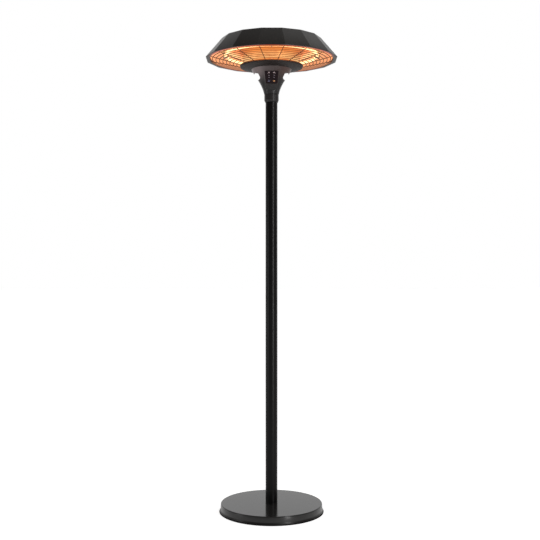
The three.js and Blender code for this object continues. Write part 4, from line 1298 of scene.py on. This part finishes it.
# ---------------------------------------------------------------- neck and controls
@dataclass
class PanelFrame:
    """Where the tilted control panel lies: X across, Y up its slope, Z out of its face."""

    tilt: float = 28.0
    reach: float = 65.4 * MM
    drop: float = 45.5 * MM
    length: float = 57 * MM
    top_width: float = 62 * MM
    bottom_width: float = 50 * MM
    corner: float = 4 * MM
    shoulder: float = 24 * MM  # rounding above the tongue
    toe: float = 19 * MM  # rounding at the tongue's end

    def matrix(self) -> Matrix:
        """From the panel's frame to the tower's."""
        return at(0, -self.reach, high("neck_front_shell").z - self.drop, 90 + self.tilt)

    def outline(self, margin: float, tail: float = 0.0) -> list[Point2]:
        """The rounded trapezoid grown by a margin.

        Args:
            margin: How far it is grown on each side.
            tail: How far a rounded tongue goes on below it.

        Returns:
            The outline's points.
        """
        half, top, bottom = (size / 2 + margin for size in (self.length, self.top_width, self.bottom_width))
        radius = max(self.corner + margin, 0.8 * MM)
        lower = [(-bottom, -half, radius), (bottom, -half, radius)]
        if tail:
            toe = bottom - 5 * MM
            lower = [(-bottom, -half, self.shoulder), (-toe, -half - tail, self.toe),
                     (toe, -half - tail, self.toe), (bottom, -half, self.shoulder)]
        return fillet([(top, half, radius), (-top, half, radius), *lower], steps=10)


@dataclass
class Neck:
    """The flared neck: a collar and two moulded shells with a slanted slot at each side."""

    panel: PanelFrame
    wall: float = 3 * MM
    foot_radius: float = 31 * MM
    foot_height: float = 2.5 * MM
    bottom_radius: float = 33 * MM
    collar_foot: float = 28.7 * MM
    collar_bell: float = 8.5 * MM
    curve_steps: int = 8  # between two knots of the flare
    notch_upper: Corner = (67 * MM, 23 * MM, 10 * MM)  # from the axis, below the top, radius
    notch_lower: Corner = (61 * MM, 35 * MM, 10 * MM)
    notch_rise: float = 11.0
    seam: float = 0.3 * MM
    shield_margin: float = 3 * MM
    shield_depth: float = 14 * MM
    shield_tail: float = 27 * MM
    pocket_depth: float = 2.3 * MM
    opening_margin: float = 4 * MM
    opening_depth: float = 22 * MM
    screw: Screw = Screw(radius=3.4 * MM, height=2.6 * MM, shank=1.9 * MM, length=28 * MM, socket=1.5 * MM)
    screw_well: float = 3.7 * MM
    screw_seat: float = 13 * MM  # behind the axis
    segments: int = 144
    hollow_segments: int = 96
    foot: float = field(init=False)
    top: float = field(init=False)
    top_radius: float = field(init=False)

    def __post_init__(self) -> None:
        """Reads the shells' box from the frame."""
        self.foot, self.top = low("neck_front_shell").z, high("neck_front_shell").z
        self.top_radius = high("neck_front_shell").x

    def build(self) -> None:
        """Makes the collar, the shells and their screws."""
        self._collar()
        body = self._body()
        rear = new_object("neck_rear", body.data.copy())
        self._shell(body, "neck_front_cover", -1, "neck_front_shell")
        self._shell(rear, "neck_rear_cover", 1, "neck_rear_shell")
        names = numbered("neck_screw", 2)
        spots = [Vector((middle(n).x, high(n).y - self.screw.height, middle(n).z)) for n in names]
        self.screw.fit("neck_screws", spots, Facing.BACK, names)

    def _collar(self) -> None:
        """The clamp collar under the neck and its set screw."""
        bottom, top, radius = low("neck_collar").z, high("neck_collar").z, high("neck_collar").x
        bore, centre = high("head_tube").x + PLAY, (bottom + top) / 2
        outline = fillet([
            (bore, bottom, 0.3 * MM), (self.collar_foot, bottom, 0.8 * MM),
            (radius, bottom + self.collar_bell, 6 * MM), (radius, bottom + 16 * MM, 0),
            (radius, top - FLAT_EDGE, 0), (radius, top, 1.0 * MM), (bore, top, 0.3 * MM)], steps=5)
        collar = revolve("neck_collar_ring", outline, self.segments)
        combine(collar, move(rod("set_screw_tool", 2.8 * MM, 0, 50 * MM, 24), at(0, 0, centre, -90)))
        finish_piece(collar, NECK_PLASTIC, ["neck_collar"])
        face = high("collar_screw").y
        screw = Screw(radius=2.45 * MM, height=1.2 * MM, shank=2.2 * MM, length=face - radius + 3 * MM,
                      socket=1.3 * MM)
        spot = Vector((0, face - screw.height - 0.1 * MM, centre))
        screw.fit("collar_set_screw", [spot], Facing.BACK, ["collar_screw"])

    def _flare(self) -> list[Point2]:
        """The neck's outer line from the groove up to the hub: a bell that opens upwards.

        Returns:
            (radius, height) points on a smooth curve through a few knots.
        """
        height = self.top - self.foot
        knots = [Vector(p) for p in (
            (self.bottom_radius, self.foot + self.foot_height),
            (self.bottom_radius + 5.4 * MM, self.foot + 0.2 * height),
            (self.bottom_radius + 19.4 * MM, self.foot + 0.475 * height),
            (self.top_radius - 11.5 * MM, self.foot + 0.82 * height), (self.top_radius, self.top))]
        knots = [knots[0], *knots, knots[-1]]
        points = []
        for before, start, end, after in zip(knots, knots[1:], knots[2:], knots[3:]):
            for k in range(self.curve_steps):
                t = k / self.curve_steps
                bend = (2 * before - 5 * start + 4 * end - after) * t
                bend += (3 * start - before - 3 * end + after) * t * t
                points.append(tuple(start + 0.5 * t * ((end - before) + bend)))
        return [*points, tuple(knots[-2])]

    def _notches(self, grow: float) -> list[Piece]:
        """The cutters of the two side slots, which climb to the rear.

        Args:
            grow: How far they are grown on each side.

        Returns:
            The cutters.
        """
        circles, reach = (self.notch_upper, self.notch_lower), self.top_radius
        level = (circles[0][1] + circles[1][1]) / 2
        outline = between_circles(*((across, level - drop, radius + grow)
                                    for across, drop, radius in circles))
        placed = at(0, 0, self.top - level, 90 + self.notch_rise)
        return [move(extrude("notch_tool", [(side * x, z) for x, z in outline], -reach, reach), placed)
                for side in (-1, 1)]

    def _prism(self, margin: float, bottom: float, top: float, tail: float = 0.0) -> Piece:
        """The panel's outline as a solid between two heights over its face."""
        return extrude("panel_tool", self.panel.outline(margin, tail), bottom, top)

    def _shield(self) -> Piece:
        """The raised face round the panel, cut off at the neck's top.

        Returns:
            The face as a solid.
        """
        shield = self._prism(self.shield_margin, -self.shield_depth, 0.0, self.shield_tail)
        bevelled(shield, 1.3 * MM, 3)
        move(shield, self.panel.matrix())
        reach = 2 * self.top_radius
        slab = extrude("slab_tool", rectangle(-reach, reach, -reach, reach), self.foot - reach, self.top)
        return combine(shield, slab, Cut.KEEP)

    def _body(self) -> Piece:
        """Both shells in one: flare, raised face, notches, pocket, opening and hollow.

        Returns:
            The body, not yet parted.
        """
        flare, groove = self._flare(), self.foot + self.foot_height
        outside = [(0, self.foot), (self.foot_radius, self.foot), (self.foot_radius, groove), *flare,
                   (0, self.top)]
        body = revolve("neck_body", outside, self.segments)
        for tool in self._notches(0.0):
            combine(body, tool)
        combine(body, self._shield(), Cut.ADD)
        floor, lid = groove + self.wall, self.top + 5 * MM
        inner = [(r - self.wall, z) for r, z in flare if z > floor]
        inside = [(0, floor), (inner[0][0] - 0.2 * MM, floor), *inner, (inner[-1][0], lid), (0, lid)]
        hollow = revolve("hollow_tool", inside, self.hollow_segments)
        for tool in self._notches(self.wall):
            combine(hollow, tool)
        combine(body, hollow)
        pocket = self._prism(PLAY, -self.pocket_depth, 2 * MM)
        opening = self._prism(-self.opening_margin, -self.opening_depth, 0.0)
        for tool in (pocket, opening):
            combine(body, move(tool, self.panel.matrix()))
        bore = high("head_tube").x + PLAY
        return combine(body, rod("bore_tool", bore, self.foot - lid, 2 * lid, self.hollow_segments))

    def _shell(self, body: Piece, name: str, side: int, node: str) -> None:
        """Parts one shell from the body, with softened edges.

        Args:
            body: The body, which becomes the shell.
            name: The shell's name.
            side: -1 for the front shell and 1 for the rear one.
            node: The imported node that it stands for.
        """
        far, gap = 2 * self.top_radius, self.seam / 2
        outline = [(x, side * y) for x, y in rectangle(-far, far, gap, far)]
        combine(body, extrude("parting_tool", outline, self.foot - far, self.top + far), Cut.KEEP)
        if side > 0:
            spot = middle("neck_screw_1")
            for x in (-abs(spot.x), abs(spot.x)):
                well = rod("screw_well", self.screw_well, self.screw_seat, far, 32)
                combine(body, move(well, at(x, 0, spot.z, -90)))
        body.name = name
        bevelled(body, 0.4 * MM, 2, 38.0)
        finish_piece(body, NECK_PLASTIC, [node])


@dataclass
class Controls:
    """The glossy panel with its pale marks, the two keys and what lies behind them."""

    panel: PanelFrame
    thickness: float = 2 * MM
    post_radius: float = 2.6 * MM
    post_length: float = 8.7 * MM
    post_bore: float = 1.5 * MM
    post_spacing: float = 40 * MM
    key_radius: float = 6 * MM
    key_spacing: float = 23 * MM
    key_drop: float = 16.8 * MM
    flange_radius: float = 7.1 * MM
    flange: float = 1.1 * MM
    stem_radius: float = 1.5 * MM
    stem_end: float = 4.1 * MM
    standout: float = 0.5 * MM
    rim: float = 1.2 * MM
    dish: float = 0.35 * MM
    gap: float = 0.25 * MM
    ring_radius: float = 3 * MM
    mark_root: float = 0.2 * MM
    mark_depth: float = 0.12 * MM
    line_width: float = 0.75 * MM
    bar_pitch: float = 2.1 * MM
    bar_shortening: float = 0.22

    def build(self) -> None:
        """Makes the face, the keys and the marks, and dresses the parts inside."""
        self._face()
        for side, name, marker in ((-1, "power", BLUE_MARK), (1, "mode", AMBER_MARK)):
            self._key(side, name + "_key")
            self._key_mark(side, name + "_key", marker)
        self._bars("panel_marks_upper", rise=20.6 * MM, half=4.6 * MM, rows=3, finish=PALE_MARK)
        self._bars("panel_marks_middle", rise=8.6 * MM, half=2.4 * MM, rows=2, finish=DIM_MARK)
        self._bars("panel_marks_lower", rise=-0.6 * MM, half=2.4 * MM, rows=2, finish=DIM_MARK)
        dress(CIRCUIT_BOARD, "control_board")
        dress(SWITCH_PLASTIC, "display_module", "power_switch", "mode_switch")
        dress(SWITCH_PLASTIC, "power_switch_plunger", "mode_switch_plunger")
        dress(ZINC, *numbered("board_screw", 2))

    def _spot(self, side: int) -> Matrix:
        """The middle of a key on the panel's face."""
        return at(side * self.key_spacing / 2, -self.key_drop, 0)

    def _face(self) -> None:
        """The panel with softened edges, its standoffs and the holes of the keys."""
        face = extrude("control_panel_face", self.panel.outline(0.0), -self.thickness, 0.0)
        for end in (1, -1):
            spot = at(0, end * self.post_spacing / 2, 0)
            post = rod("standoff", self.post_radius, -self.post_length, -1 * MM, 24)
            combine(face, move(post, spot), Cut.ADD)
            combine(face, move(rod("standoff_tool", self.post_bore, -20 * MM, -3 * MM, 16), spot))
        for side in (-1, 1):
            hole = rod("key_tool", self.key_radius + self.gap, -9 * MM, 9 * MM, 64)
            combine(face, move(hole, self._spot(side)))
        bevelled(face, 0.35 * MM)
        finish_piece(move(face, self.panel.matrix()), PANEL_GLOSS, ["control_panel"])

    def _key(self, side: int, name: str) -> None:
        """One key: a dished cap, its flange and its stem.

        Args:
            side: -1 for the left key and 1 for the right one.
            name: The key's name, which is also its node's and its body's.
        """
        back = -self.thickness - PLAY
        under, end, face = back - self.flange, -self.stem_end, self.standout
        stem, flange, radius = self.stem_radius, self.flange_radius, self.key_radius
        cap = fillet([
            (0, end, 0), (stem, end, 0.2 * MM), (stem, under, 0), (flange, under, 0.2 * MM),
            (flange, back, 0.2 * MM), (radius, back, 0), (radius, face, 0.45 * MM),
            (radius - self.rim, face, 0.5 * MM), (0, face - self.dish, 0)])
        key = move(revolve(name + "_cap", cap, 64), self.panel.matrix() @ self._spot(side))
        finish_piece(key, KEY_GLOSS, [name], body=name)

    def _key_mark(self, side: int, name: str, marker: LitFinish) -> None:
        """The ring and the stroke marked in a key's dish; the left ring is open at its top.

        Args:
            side: -1 for the left key and 1 for the right one.
            name: The key's name.
            marker: The finish of the mark.
        """
        level, slope = self.standout - self.dish, self.dish / (self.key_radius - self.rim)
        inner, outer = self.ring_radius, self.ring_radius + self.line_width
        corners = ((inner, -self.mark_root), (outer, -self.mark_root), (outer, self.mark_depth),
                   (inner, self.mark_depth))
        ring = revolve(name + "_ring", [(r, level + slope * r + rise) for r, rise in corners], 48)
        if side < 0:
            combine(ring, extrude("ring_slot", rectangle(-1 * MM, 1 * MM, 0, 9 * MM), -MM, 2 * MM))
        end = 4.1 * MM if side < 0 else -1.1 * MM
        combine(ring, self._stroke(name + "_bar", (0, 1.1 * MM), (0, end), level + 0.05 * MM), Cut.ADD)
        move(ring, self.panel.matrix() @ self._spot(side))
        finish_piece(ring, marker, body=name)

    def _stroke(self, name: str, start: Point2, end: Point2, level: float = 0.0) -> Piece:
        """A short raised line on the panel's face, in the panel's frame.

        Args:
            name: The piece's name.
            start: One end.
            end: The other end.
            level: Height of the face that it lies on.

        Returns:
            The line.
        """
        a, b = Vector(start), Vector(end)
        along = (b - a).normalized() * self.line_width / 2
        across = Vector((-along.y, along.x))
        corners = [a - along + across, a - along - across, b + along - across, b + along + across]
        outline = fillet([(*corner, 0.45 * self.line_width) for corner in corners], steps=3)
        return extrude(name, outline, level - self.mark_root, level + self.mark_depth)

    def _bars(self, name: str, rise: float, half: float, rows: int, finish: LitFinish) -> None:
        """One pair of groups of level bars, one over each key.

        Args:
            name: The piece's name.
            rise: Height of the group's middle over the panel's centre.
            half: Half the lowest bar's length.
            rows: Number of bars.
            finish: Their finish.
        """
        bars = None
        for side in (-1, 1):
            centre = side * self.key_spacing / 2
            for row in range(rows):
                level = rise + (row - (rows - 1) / 2) * self.bar_pitch
                width = half * (1 - self.bar_shortening * row)
                stroke = self._stroke(name, (centre - width, level), (centre + width, level))
                bars = stroke if bars is None else combine(bars, stroke, Cut.ADD)
        bars.name = name
        finish_piece(move(bars, self.panel.matrix()), finish)


# ---------------------------------------------------------------- hub
@dataclass
class Hub:
    """The dark dish under the reflector, and the plate and posts that carry the head."""

    sheet: float = 2 * MM
    rise: float = 9 * MM
    edge: float = 3 * MM
    bend: float = 12 * MM
    segments: int = 144

    def build(self) -> None:
        """Makes the dish and dresses what it holds."""
        bottom, top, radius = low("hub_cover").z, high("hub_cover").z, high("hub_cover").x
        bore, neck = high("head_tube").x + PLAY, high("neck_front_shell").x
        rim = bottom + self.rise
        outline = fillet([
            (bore, bottom, 0), (neck, bottom, self.bend), (radius - 1.5 * MM, rim, self.edge),
            (radius, top, 0.6 * MM), (radius - self.sheet, top, 0.6 * MM),
            (radius - 1.4 * MM - self.sheet, rim + self.sheet, 2.6 * MM),
            (neck + 0.2 * MM, bottom + self.sheet, self.bend), (bore, bottom + self.sheet, 0)], steps=6)
        finish_piece(revolve("hub_dish", outline, self.segments), HUB_DARK, ["hub_cover"])
        dress(ZINC, "hub_plate", *numbered("canopy_post", 3), "tilt_switch_bracket", "tilt_pendulum")
        dress(CERAMIC, "terminal_block")


# ---------------------------------------------------------------- head
@dataclass
class Canopy:
    """The sixteen-sided hood of folded sheet, with a round mouth."""

    sides: int = 16
    sheet: float = 2 * MM
    mouth: float = 274 * MM
    side_height: float = 88 * MM
    side_run: float = 73 * MM
    crown_radius: float = 116 * MM
    fold: float = 1.8 * MM
    corner: float = 5 * MM
    steps: int = 5

    def build(self) -> None:
        """Makes the hood and its screws."""
        self._hood()
        names, crown = numbered("canopy_screw", 3), high("canopy").z
        screw = Screw(radius=5.5 * MM, height=high(names[0]).z - crown, shank=2.5 * MM, length=17 * MM,
                      socket=1.9 * MM)
        screw.fit("canopy_screws", [over(n, crown) for n in names], Facing.UP, names)

    def _level(self, shape: bmesh.types.BMesh, across: float, height: float,
               rounding: float) -> list[bmesh.types.BMVert]:
        """One level of the hood: a polygon with rounded corners.

        Args:
            shape: The mesh that it goes into.
            across: Distance from the axis to each side.
            height: Its height.
            rounding: Radius at the corners; as large as the distance, it makes a circle.

        Returns:
            The level's points.
        """
        step = 2 * math.pi / self.sides
        centre = (across - rounding) / math.cos(step / 2)
        points = []
        for k in range(self.sides):
            corner_at = step * (k + 0.5)
            for i in range(self.steps + 1):
                turn = corner_at + step * (i / self.steps - 0.5)
                x = centre * math.cos(corner_at) + rounding * math.cos(turn)
                y = centre * math.sin(corner_at) + rounding * math.sin(turn)
                points.append(shape.verts.new((x, y, height)))
        return points

    def _outline(self) -> list[Point2]:
        """The hood's section through the middle of a side: lip, slope and crown, as one folded sheet.

        Returns:
            (across, height) points, the outer side first.
        """
        share = math.cos(math.pi / self.sides)
        rim, crown, reach = low("canopy").z, high("canopy").z, high("canopy").x
        foot = reach + 1.13 * self.fold  # the fold's rounding takes this back off
        shoulder, flat = reach - self.side_run * share, self.crown_radius * share
        top = rim + self.side_height
        slope = math.atan2(self.side_height, self.side_run * share)
        inset = self.sheet * math.tan(math.pi / 4 - (math.pi / 2 - slope) / 2) + self.sheet * 0.9
        return fillet([
            (self.mouth, rim, 0.6 * MM), (foot, rim, self.fold), (shoulder, top, 1.4 * self.fold),
            (flat, crown, 8 * self.fold), (0, crown, 0), (0, crown - self.sheet, 0),
            (flat, crown - self.sheet, 8 * self.fold),
            (shoulder - 0.45 * self.sheet, top - self.sheet, 0.6 * self.fold),
            (foot - inset, rim + self.sheet, 0.4 * self.fold), (self.mouth, rim + self.sheet, 0.6 * MM)])

    def _hood(self) -> None:
        """The hood: sixteen sides, with a mouth that is a true circle."""
        rim = low("canopy").z
        shape = bmesh.new()
        levels = []
        for across, height in self._outline():
            at_mouth = across < self.mouth + 1.2 * MM and height < rim + 1.2 * self.sheet
            rounding = across if at_mouth else min(self.corner, across)
            levels.append(self._level(shape, across, height, rounding))
        count = len(levels[0])
        for here, there in zip(levels, [*levels[1:], levels[0]]):
            for i in range(count):
                j = (i + 1) % count
                shape.faces.new((here[i], here[j], there[j], there[i]))
        bmesh.ops.remove_doubles(shape, verts=shape.verts, dist=WELD)
        bmesh.ops.dissolve_degenerate(shape, edges=shape.edges, dist=0.1 * WELD)
        finish_piece(from_bmesh("canopy_hood", shape, 30.0), CANOPY_ENAMEL, ["canopy"])


@dataclass
class Reflector:
    """The bright dish behind the heating ring, pressed with a stiffening bead."""

    sheet: float = 1 * MM
    flange_inner: float = 80 * MM
    inner_radius: float = 125 * MM
    inner_height: float = 31 * MM
    roof_inner: float = 168 * MM
    roof_outer: float = 242 * MM
    edge_drop: float = 38 * MM
    bead: float = 1.4 * MM
    bead_half: float = 6 * MM
    bead_slope: float = 3 * MM
    post_hole: float = 5.4 * MM
    segments: int = 192

    def build(self) -> None:
        """Makes the dish with the holes of its posts."""
        flange, top, edge = low("reflector").z, high("reflector").z, high("reflector").x
        roof = top - self.sheet
        line = fillet([
            (self.flange_inner, flange, 0), (self.inner_radius, flange, 3 * MM),
            (self.inner_radius + 9 * MM, flange + self.inner_height, 40 * MM),
            (self.roof_inner - 14 * MM, roof - 8 * MM, 20 * MM), (self.roof_inner, roof, 16 * MM),
            *self._bead(roof), (self.roof_outer, roof, 10 * MM), (edge - 10 * MM, roof - 15 * MM, 24 * MM),
            (edge, roof - self.edge_drop, 0)], closed=False, steps=6)
        dish = revolve("reflector_dish", line + self._offset(line), self.segments, sharp_above=40.0)
        for post in numbered("canopy_post", 3):
            hole = rod("post_tool", self.post_hole, -MM, 3 * MM, 32)
            combine(dish, move(hole, Matrix.Translation(over(post, flange))))
        finish_piece(dish, REFLECTOR, ["reflector"])

    def _bead(self, roof: float) -> list[Corner]:
        """The stiffening bead in the middle of the roof.

        Args:
            roof: The roof's height.

        Returns:
            The bead's corners.
        """
        centre, foot = (self.roof_inner + self.roof_outer) / 2, self.bead_half + self.bead_slope
        return [(centre + across, roof - drop, 2 * MM) for across, drop in (
            (-foot, 0), (-self.bead_half, self.bead), (self.bead_half, self.bead), (foot, 0))]

    def _offset(self, line: list[Point2]) -> list[Point2]:
        """The upper side of the sheet.

        Args:
            line: The lower side.

        Returns:
            The upper side's points, back from the line's end to its start.
        """
        upper = []
        for i, point in enumerate(line):
            before, after = Vector(line[max(i - 1, 0)]), Vector(line[min(i + 1, len(line) - 1)])
            along = (after - before).normalized()
            upper.append(tuple(Vector(point) + self.sheet * Vector((-along.y, along.x))))
        return upper[::-1]


@dataclass
class Guard:
    """The wire guard under the head."""

    rings: int = 10
    spokes: int = 16
    wire: float = 1.6 * MM

    def build(self) -> None:
        """Makes the guard between the hub dish and the canopy's lip."""
        inner = (high("hub_cover").x - MM, low("guard_grille").z + self.wire)
        outer = (high("guard_grille").x - self.wire, high("guard_grille").z - self.wire)
        guard = wire_guard("guard_wires", inner, outer, self.rings, self.spokes, self.wire)
        finish_piece(guard, GUARD_WIRE, ["guard_grille"])


@dataclass
class HeatingRing:
    """Two half rings of quartz tube with a glowing coil in each, in ceramic holders."""

    radius: float = 204 * MM
    tube: float = 6 * MM
    wall: float = 1.2 * MM
    half_gap: float = 4.5 * MM
    coil: float = 1.75 * MM
    coil_wire: float = 0.42 * MM
    turns: int = 235
    steps: int = 96
    sides: int = 20
    socket_play: float = 1.2 * MM
    socket_floor: float = 2.5 * MM
    height: float = field(init=False)

    def __post_init__(self) -> None:
        """Reads the ring's height from the frame."""
        self.height = middle("element_tube_1").z

    def build(self) -> None:
        """Makes tubes, coils and holders, and dresses the clips."""
        gap = self.half_gap / self.radius
        for index in (1, 2):
            start = gap + (index - 1) * math.pi
            end = start + math.pi - 2 * gap
            self._tube(index, start, end)
            coil = coil_on_arc(f"heating_coil_{index}", self.radius, self.height, start, end, self.coil,
                               self.turns, self.coil_wire)
            finish_piece(coil, HOT_COIL, [f"filament_{index}"])
        for node in numbered("ceramic_holder", 2):
            self._holder(node)
        dress(ZINC, *numbered("element_clip", 2))

    def _tube(self, index: int, start: float, end: float) -> None:
        """One half ring of tube with open ends.

        Args:
            index: 1 for the rear half ring and 2 for the front one.
            start: Angle where it starts.
            end: Angle where it ends.
        """
        shape = bmesh.new()
        sections = []
        for k in range(self.steps + 1):
            turn = start + (end - start) * k / self.steps
            section = []
            for radius in (self.tube, self.tube - self.wall):
                for i in range(self.sides):
                    angle = 2 * math.pi * i / self.sides
                    reach = self.radius + radius * math.cos(angle)
                    level = self.height + radius * math.sin(angle)
                    section.append(shape.verts.new((reach * math.cos(turn), reach * math.sin(turn), level)))
            sections.append(section)
        inner = self.sides  # where the inner wall's points start in a section
        corners = [(i, (i + 1) % self.sides) for i in range(self.sides)]
        for here, there in zip(sections, sections[1:]):
            for i, j in corners:
                shape.faces.new((here[i], here[j], there[j], there[i]))
                shape.faces.new((here[inner + j], here[inner + i], there[inner + i], there[inner + j]))
        for section in (sections[0], sections[-1]):
            for i, j in corners:
                shape.faces.new((section[i], section[j], section[inner + j], section[inner + i]))
        tube = from_bmesh(f"quartz_tube_{index}", shape, 50.0)
        finish_piece(tube, QUARTZ, [f"element_tube_{index}"])

    def _holder(self, node: str) -> None:
        """A ceramic block with rounded edges, a socket for each tube's end and a way for the wire.

        Args:
            node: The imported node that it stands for.
        """
        lo, hi, x = low(node), high(node), middle(node).x
        block = extrude(node + "_block", rectangle(lo.x, hi.x, lo.y, hi.y), lo.z, hi.z)
        bevelled(block, 1.5 * MM, 3)
        for tip in (90, -90):
            well = rod("tube_socket", self.tube + self.socket_play, self.socket_floor, 20 * MM, 40)
            combine(block, move(well, at(x, 0, self.height, tip)))
        combine(block, move(rod("wire_way", 2.5 * MM, -9 * MM, 9 * MM, 24), at(x, 0, self.height, 90)))
        block.data.set_sharp_from_angle(angle=math.radians(35.0))
        finish_piece(block, CERAMIC, [node])


# ---------------------------------------------------------------- studio
@dataclass(frozen=True)
class Paper:
    """White paper that shows as white and keeps the object's shadow."""

    name: str = "floor_paper"
    grey: float = 0.86
    glow: float = 0.75
    mirrored: float = 0.5

    def material(self) -> bpy.types.Material:
        """The paper's material; a share of its glow also shows in what is glossy.

        Returns:
            The material.
        """
        shader = Shader(self.name)
        shader.set(Base_Color=(self.grey, self.grey, self.grey, 1.0), Roughness=0.9, Specular_IOR_Level=0.1)
        seen = shader.seen().math("MAXIMUM", shader.ray("Glossy") * self.mirrored)
        plain = shader.surface.outputs[0]
        light = shader.node("ShaderNodeEmission", None, {"Color": WHITE, "Strength": self.glow}).outputs[0]
        both = shader.node("ShaderNodeAddShader", None, {0: plain, 1: light}).outputs[0]
        mix = shader.node("ShaderNodeMixShader", None, {0: seen, 1: plain, 2: both})
        shader.feed(shader.tree.nodes["Material Output"].inputs[0], mix.outputs[0])
        return shader.material


@dataclass(frozen=True)
class Lamp:
    """One rectangular lamp that faces a point; its power is in watts."""

    name: str
    place: Place
    target: Place
    size: Point2
    power: float

    def build(self) -> None:
        """Adds the lamp."""
        data = bpy.data.lights.new(self.name, "AREA")
        data.shape, data.size, data.size_y, data.energy = "RECTANGLE", *self.size, self.power
        lamp = new_object(self.name, data)
        lamp.location = self.place
        lamp.rotation_euler = (Vector(self.target) - Vector(self.place)).to_track_quat("-Z", "Y").to_euler()


LAMPS = (
    Lamp("strip_right", (2.2, -3.2, 1.45), (0, 0, 1.3), (0.42, 2.8), 68.0),
    Lamp("key_right", (2.9, -1.2, 2.6), (0, 0, 1.6), (1.2, 1.6), 7.0),
    Lamp("fill_left", (-3.2, -1.0, 0.9), (0, 0, 0.8), (1.0, 1.6), 14.0),
    Lamp("back_right", (1.15, 0.55, 4.35), (0, 0, 2.0), (1.9, 1.9), 5.0),
    Lamp("back_left", (-1.6, 1.6, 4.2), (0, 0, 2.0), (1.4, 1.4), 0.6),
    Lamp("overhead", (0.0, -0.3, 4.6), (0, 0, 2.0), (2.2, 1.2), 2.2),
)


@dataclass
class Studio:
    """Floor, lamps, world and camera."""

    lens: float = 60.0
    sensor: float = 36.0
    camera_place: Place = (-0.0067, -4.012, 1.127)
    camera_pitch: float = 0.70
    floor_size: float = 30.0
    room_light: float = 0.17
    behind_span: Point2 = (-0.1, 0.85)
    overhead_span: Point2 = (0.3, 0.85)
    overhead_shade: float = 0.85

    def build(self) -> None:
        """Sets everything that isn't the object."""
        self._camera()
        self._world()
        self._floor()
        for lamp in LAMPS:
            lamp.build()
        bpy.context.scene.view_settings.view_transform = "Standard"

    def _camera(self) -> None:
        """The camera at the photograph's height, looking along +Y and slightly down."""
        data = bpy.data.cameras.new("camera")
        data.lens, data.sensor_width = self.lens, self.sensor
        camera = new_object("camera", data)
        camera.location = self.camera_place
        camera.rotation_euler = (math.radians(90 - self.camera_pitch), 0, 0)
        bpy.context.scene.camera = camera

    def _world(self) -> None:
        """White to the camera, and a dimmer room for what the object mirrors, brightest low behind it."""
        world = bpy.data.worlds.new("studio")
        world.use_nodes = True
        graph = Graph(world.node_tree)
        back = world.node_tree.nodes["Background"]
        place = graph.node("ShaderNodeTexCoord").outputs["Generated"]
        behind = graph.part(place, 1).step(*self.behind_span)
        shade = graph.part(place, 2).step(*self.overhead_span) * self.overhead_shade
        room = self.room_light + behind * (1.0 - shade) * (1.0 - self.room_light)
        graph.feed(back.inputs["Strength"], room + graph.seen() * (1.0 - room))
        graph.feed(back.inputs["Color"], WHITE)
        bpy.context.scene.world = world

    def _floor(self) -> None:
        """A wide pale floor."""
        shape = bmesh.new()
        bmesh.ops.create_grid(shape, x_segments=1, y_segments=1, size=self.floor_size)
        floor = from_bmesh("studio_floor", shape)
        floor.data.materials.append(Paper().material())


def main() -> None:
    """Builds the studio and the tower, piece by piece."""
    logging.basicConfig(level=logging.INFO, format="%(message)s")
    panel = PanelFrame()
    for part in (Studio(), Base(), Pole(), Neck(panel), Controls(panel), Hub(), Canopy(), Reflector(),
                 Guard(), HeatingRing()):
        log.info("-- %s", type(part).__name__)
        part.build()


if __name__ == "__main__":
    main()
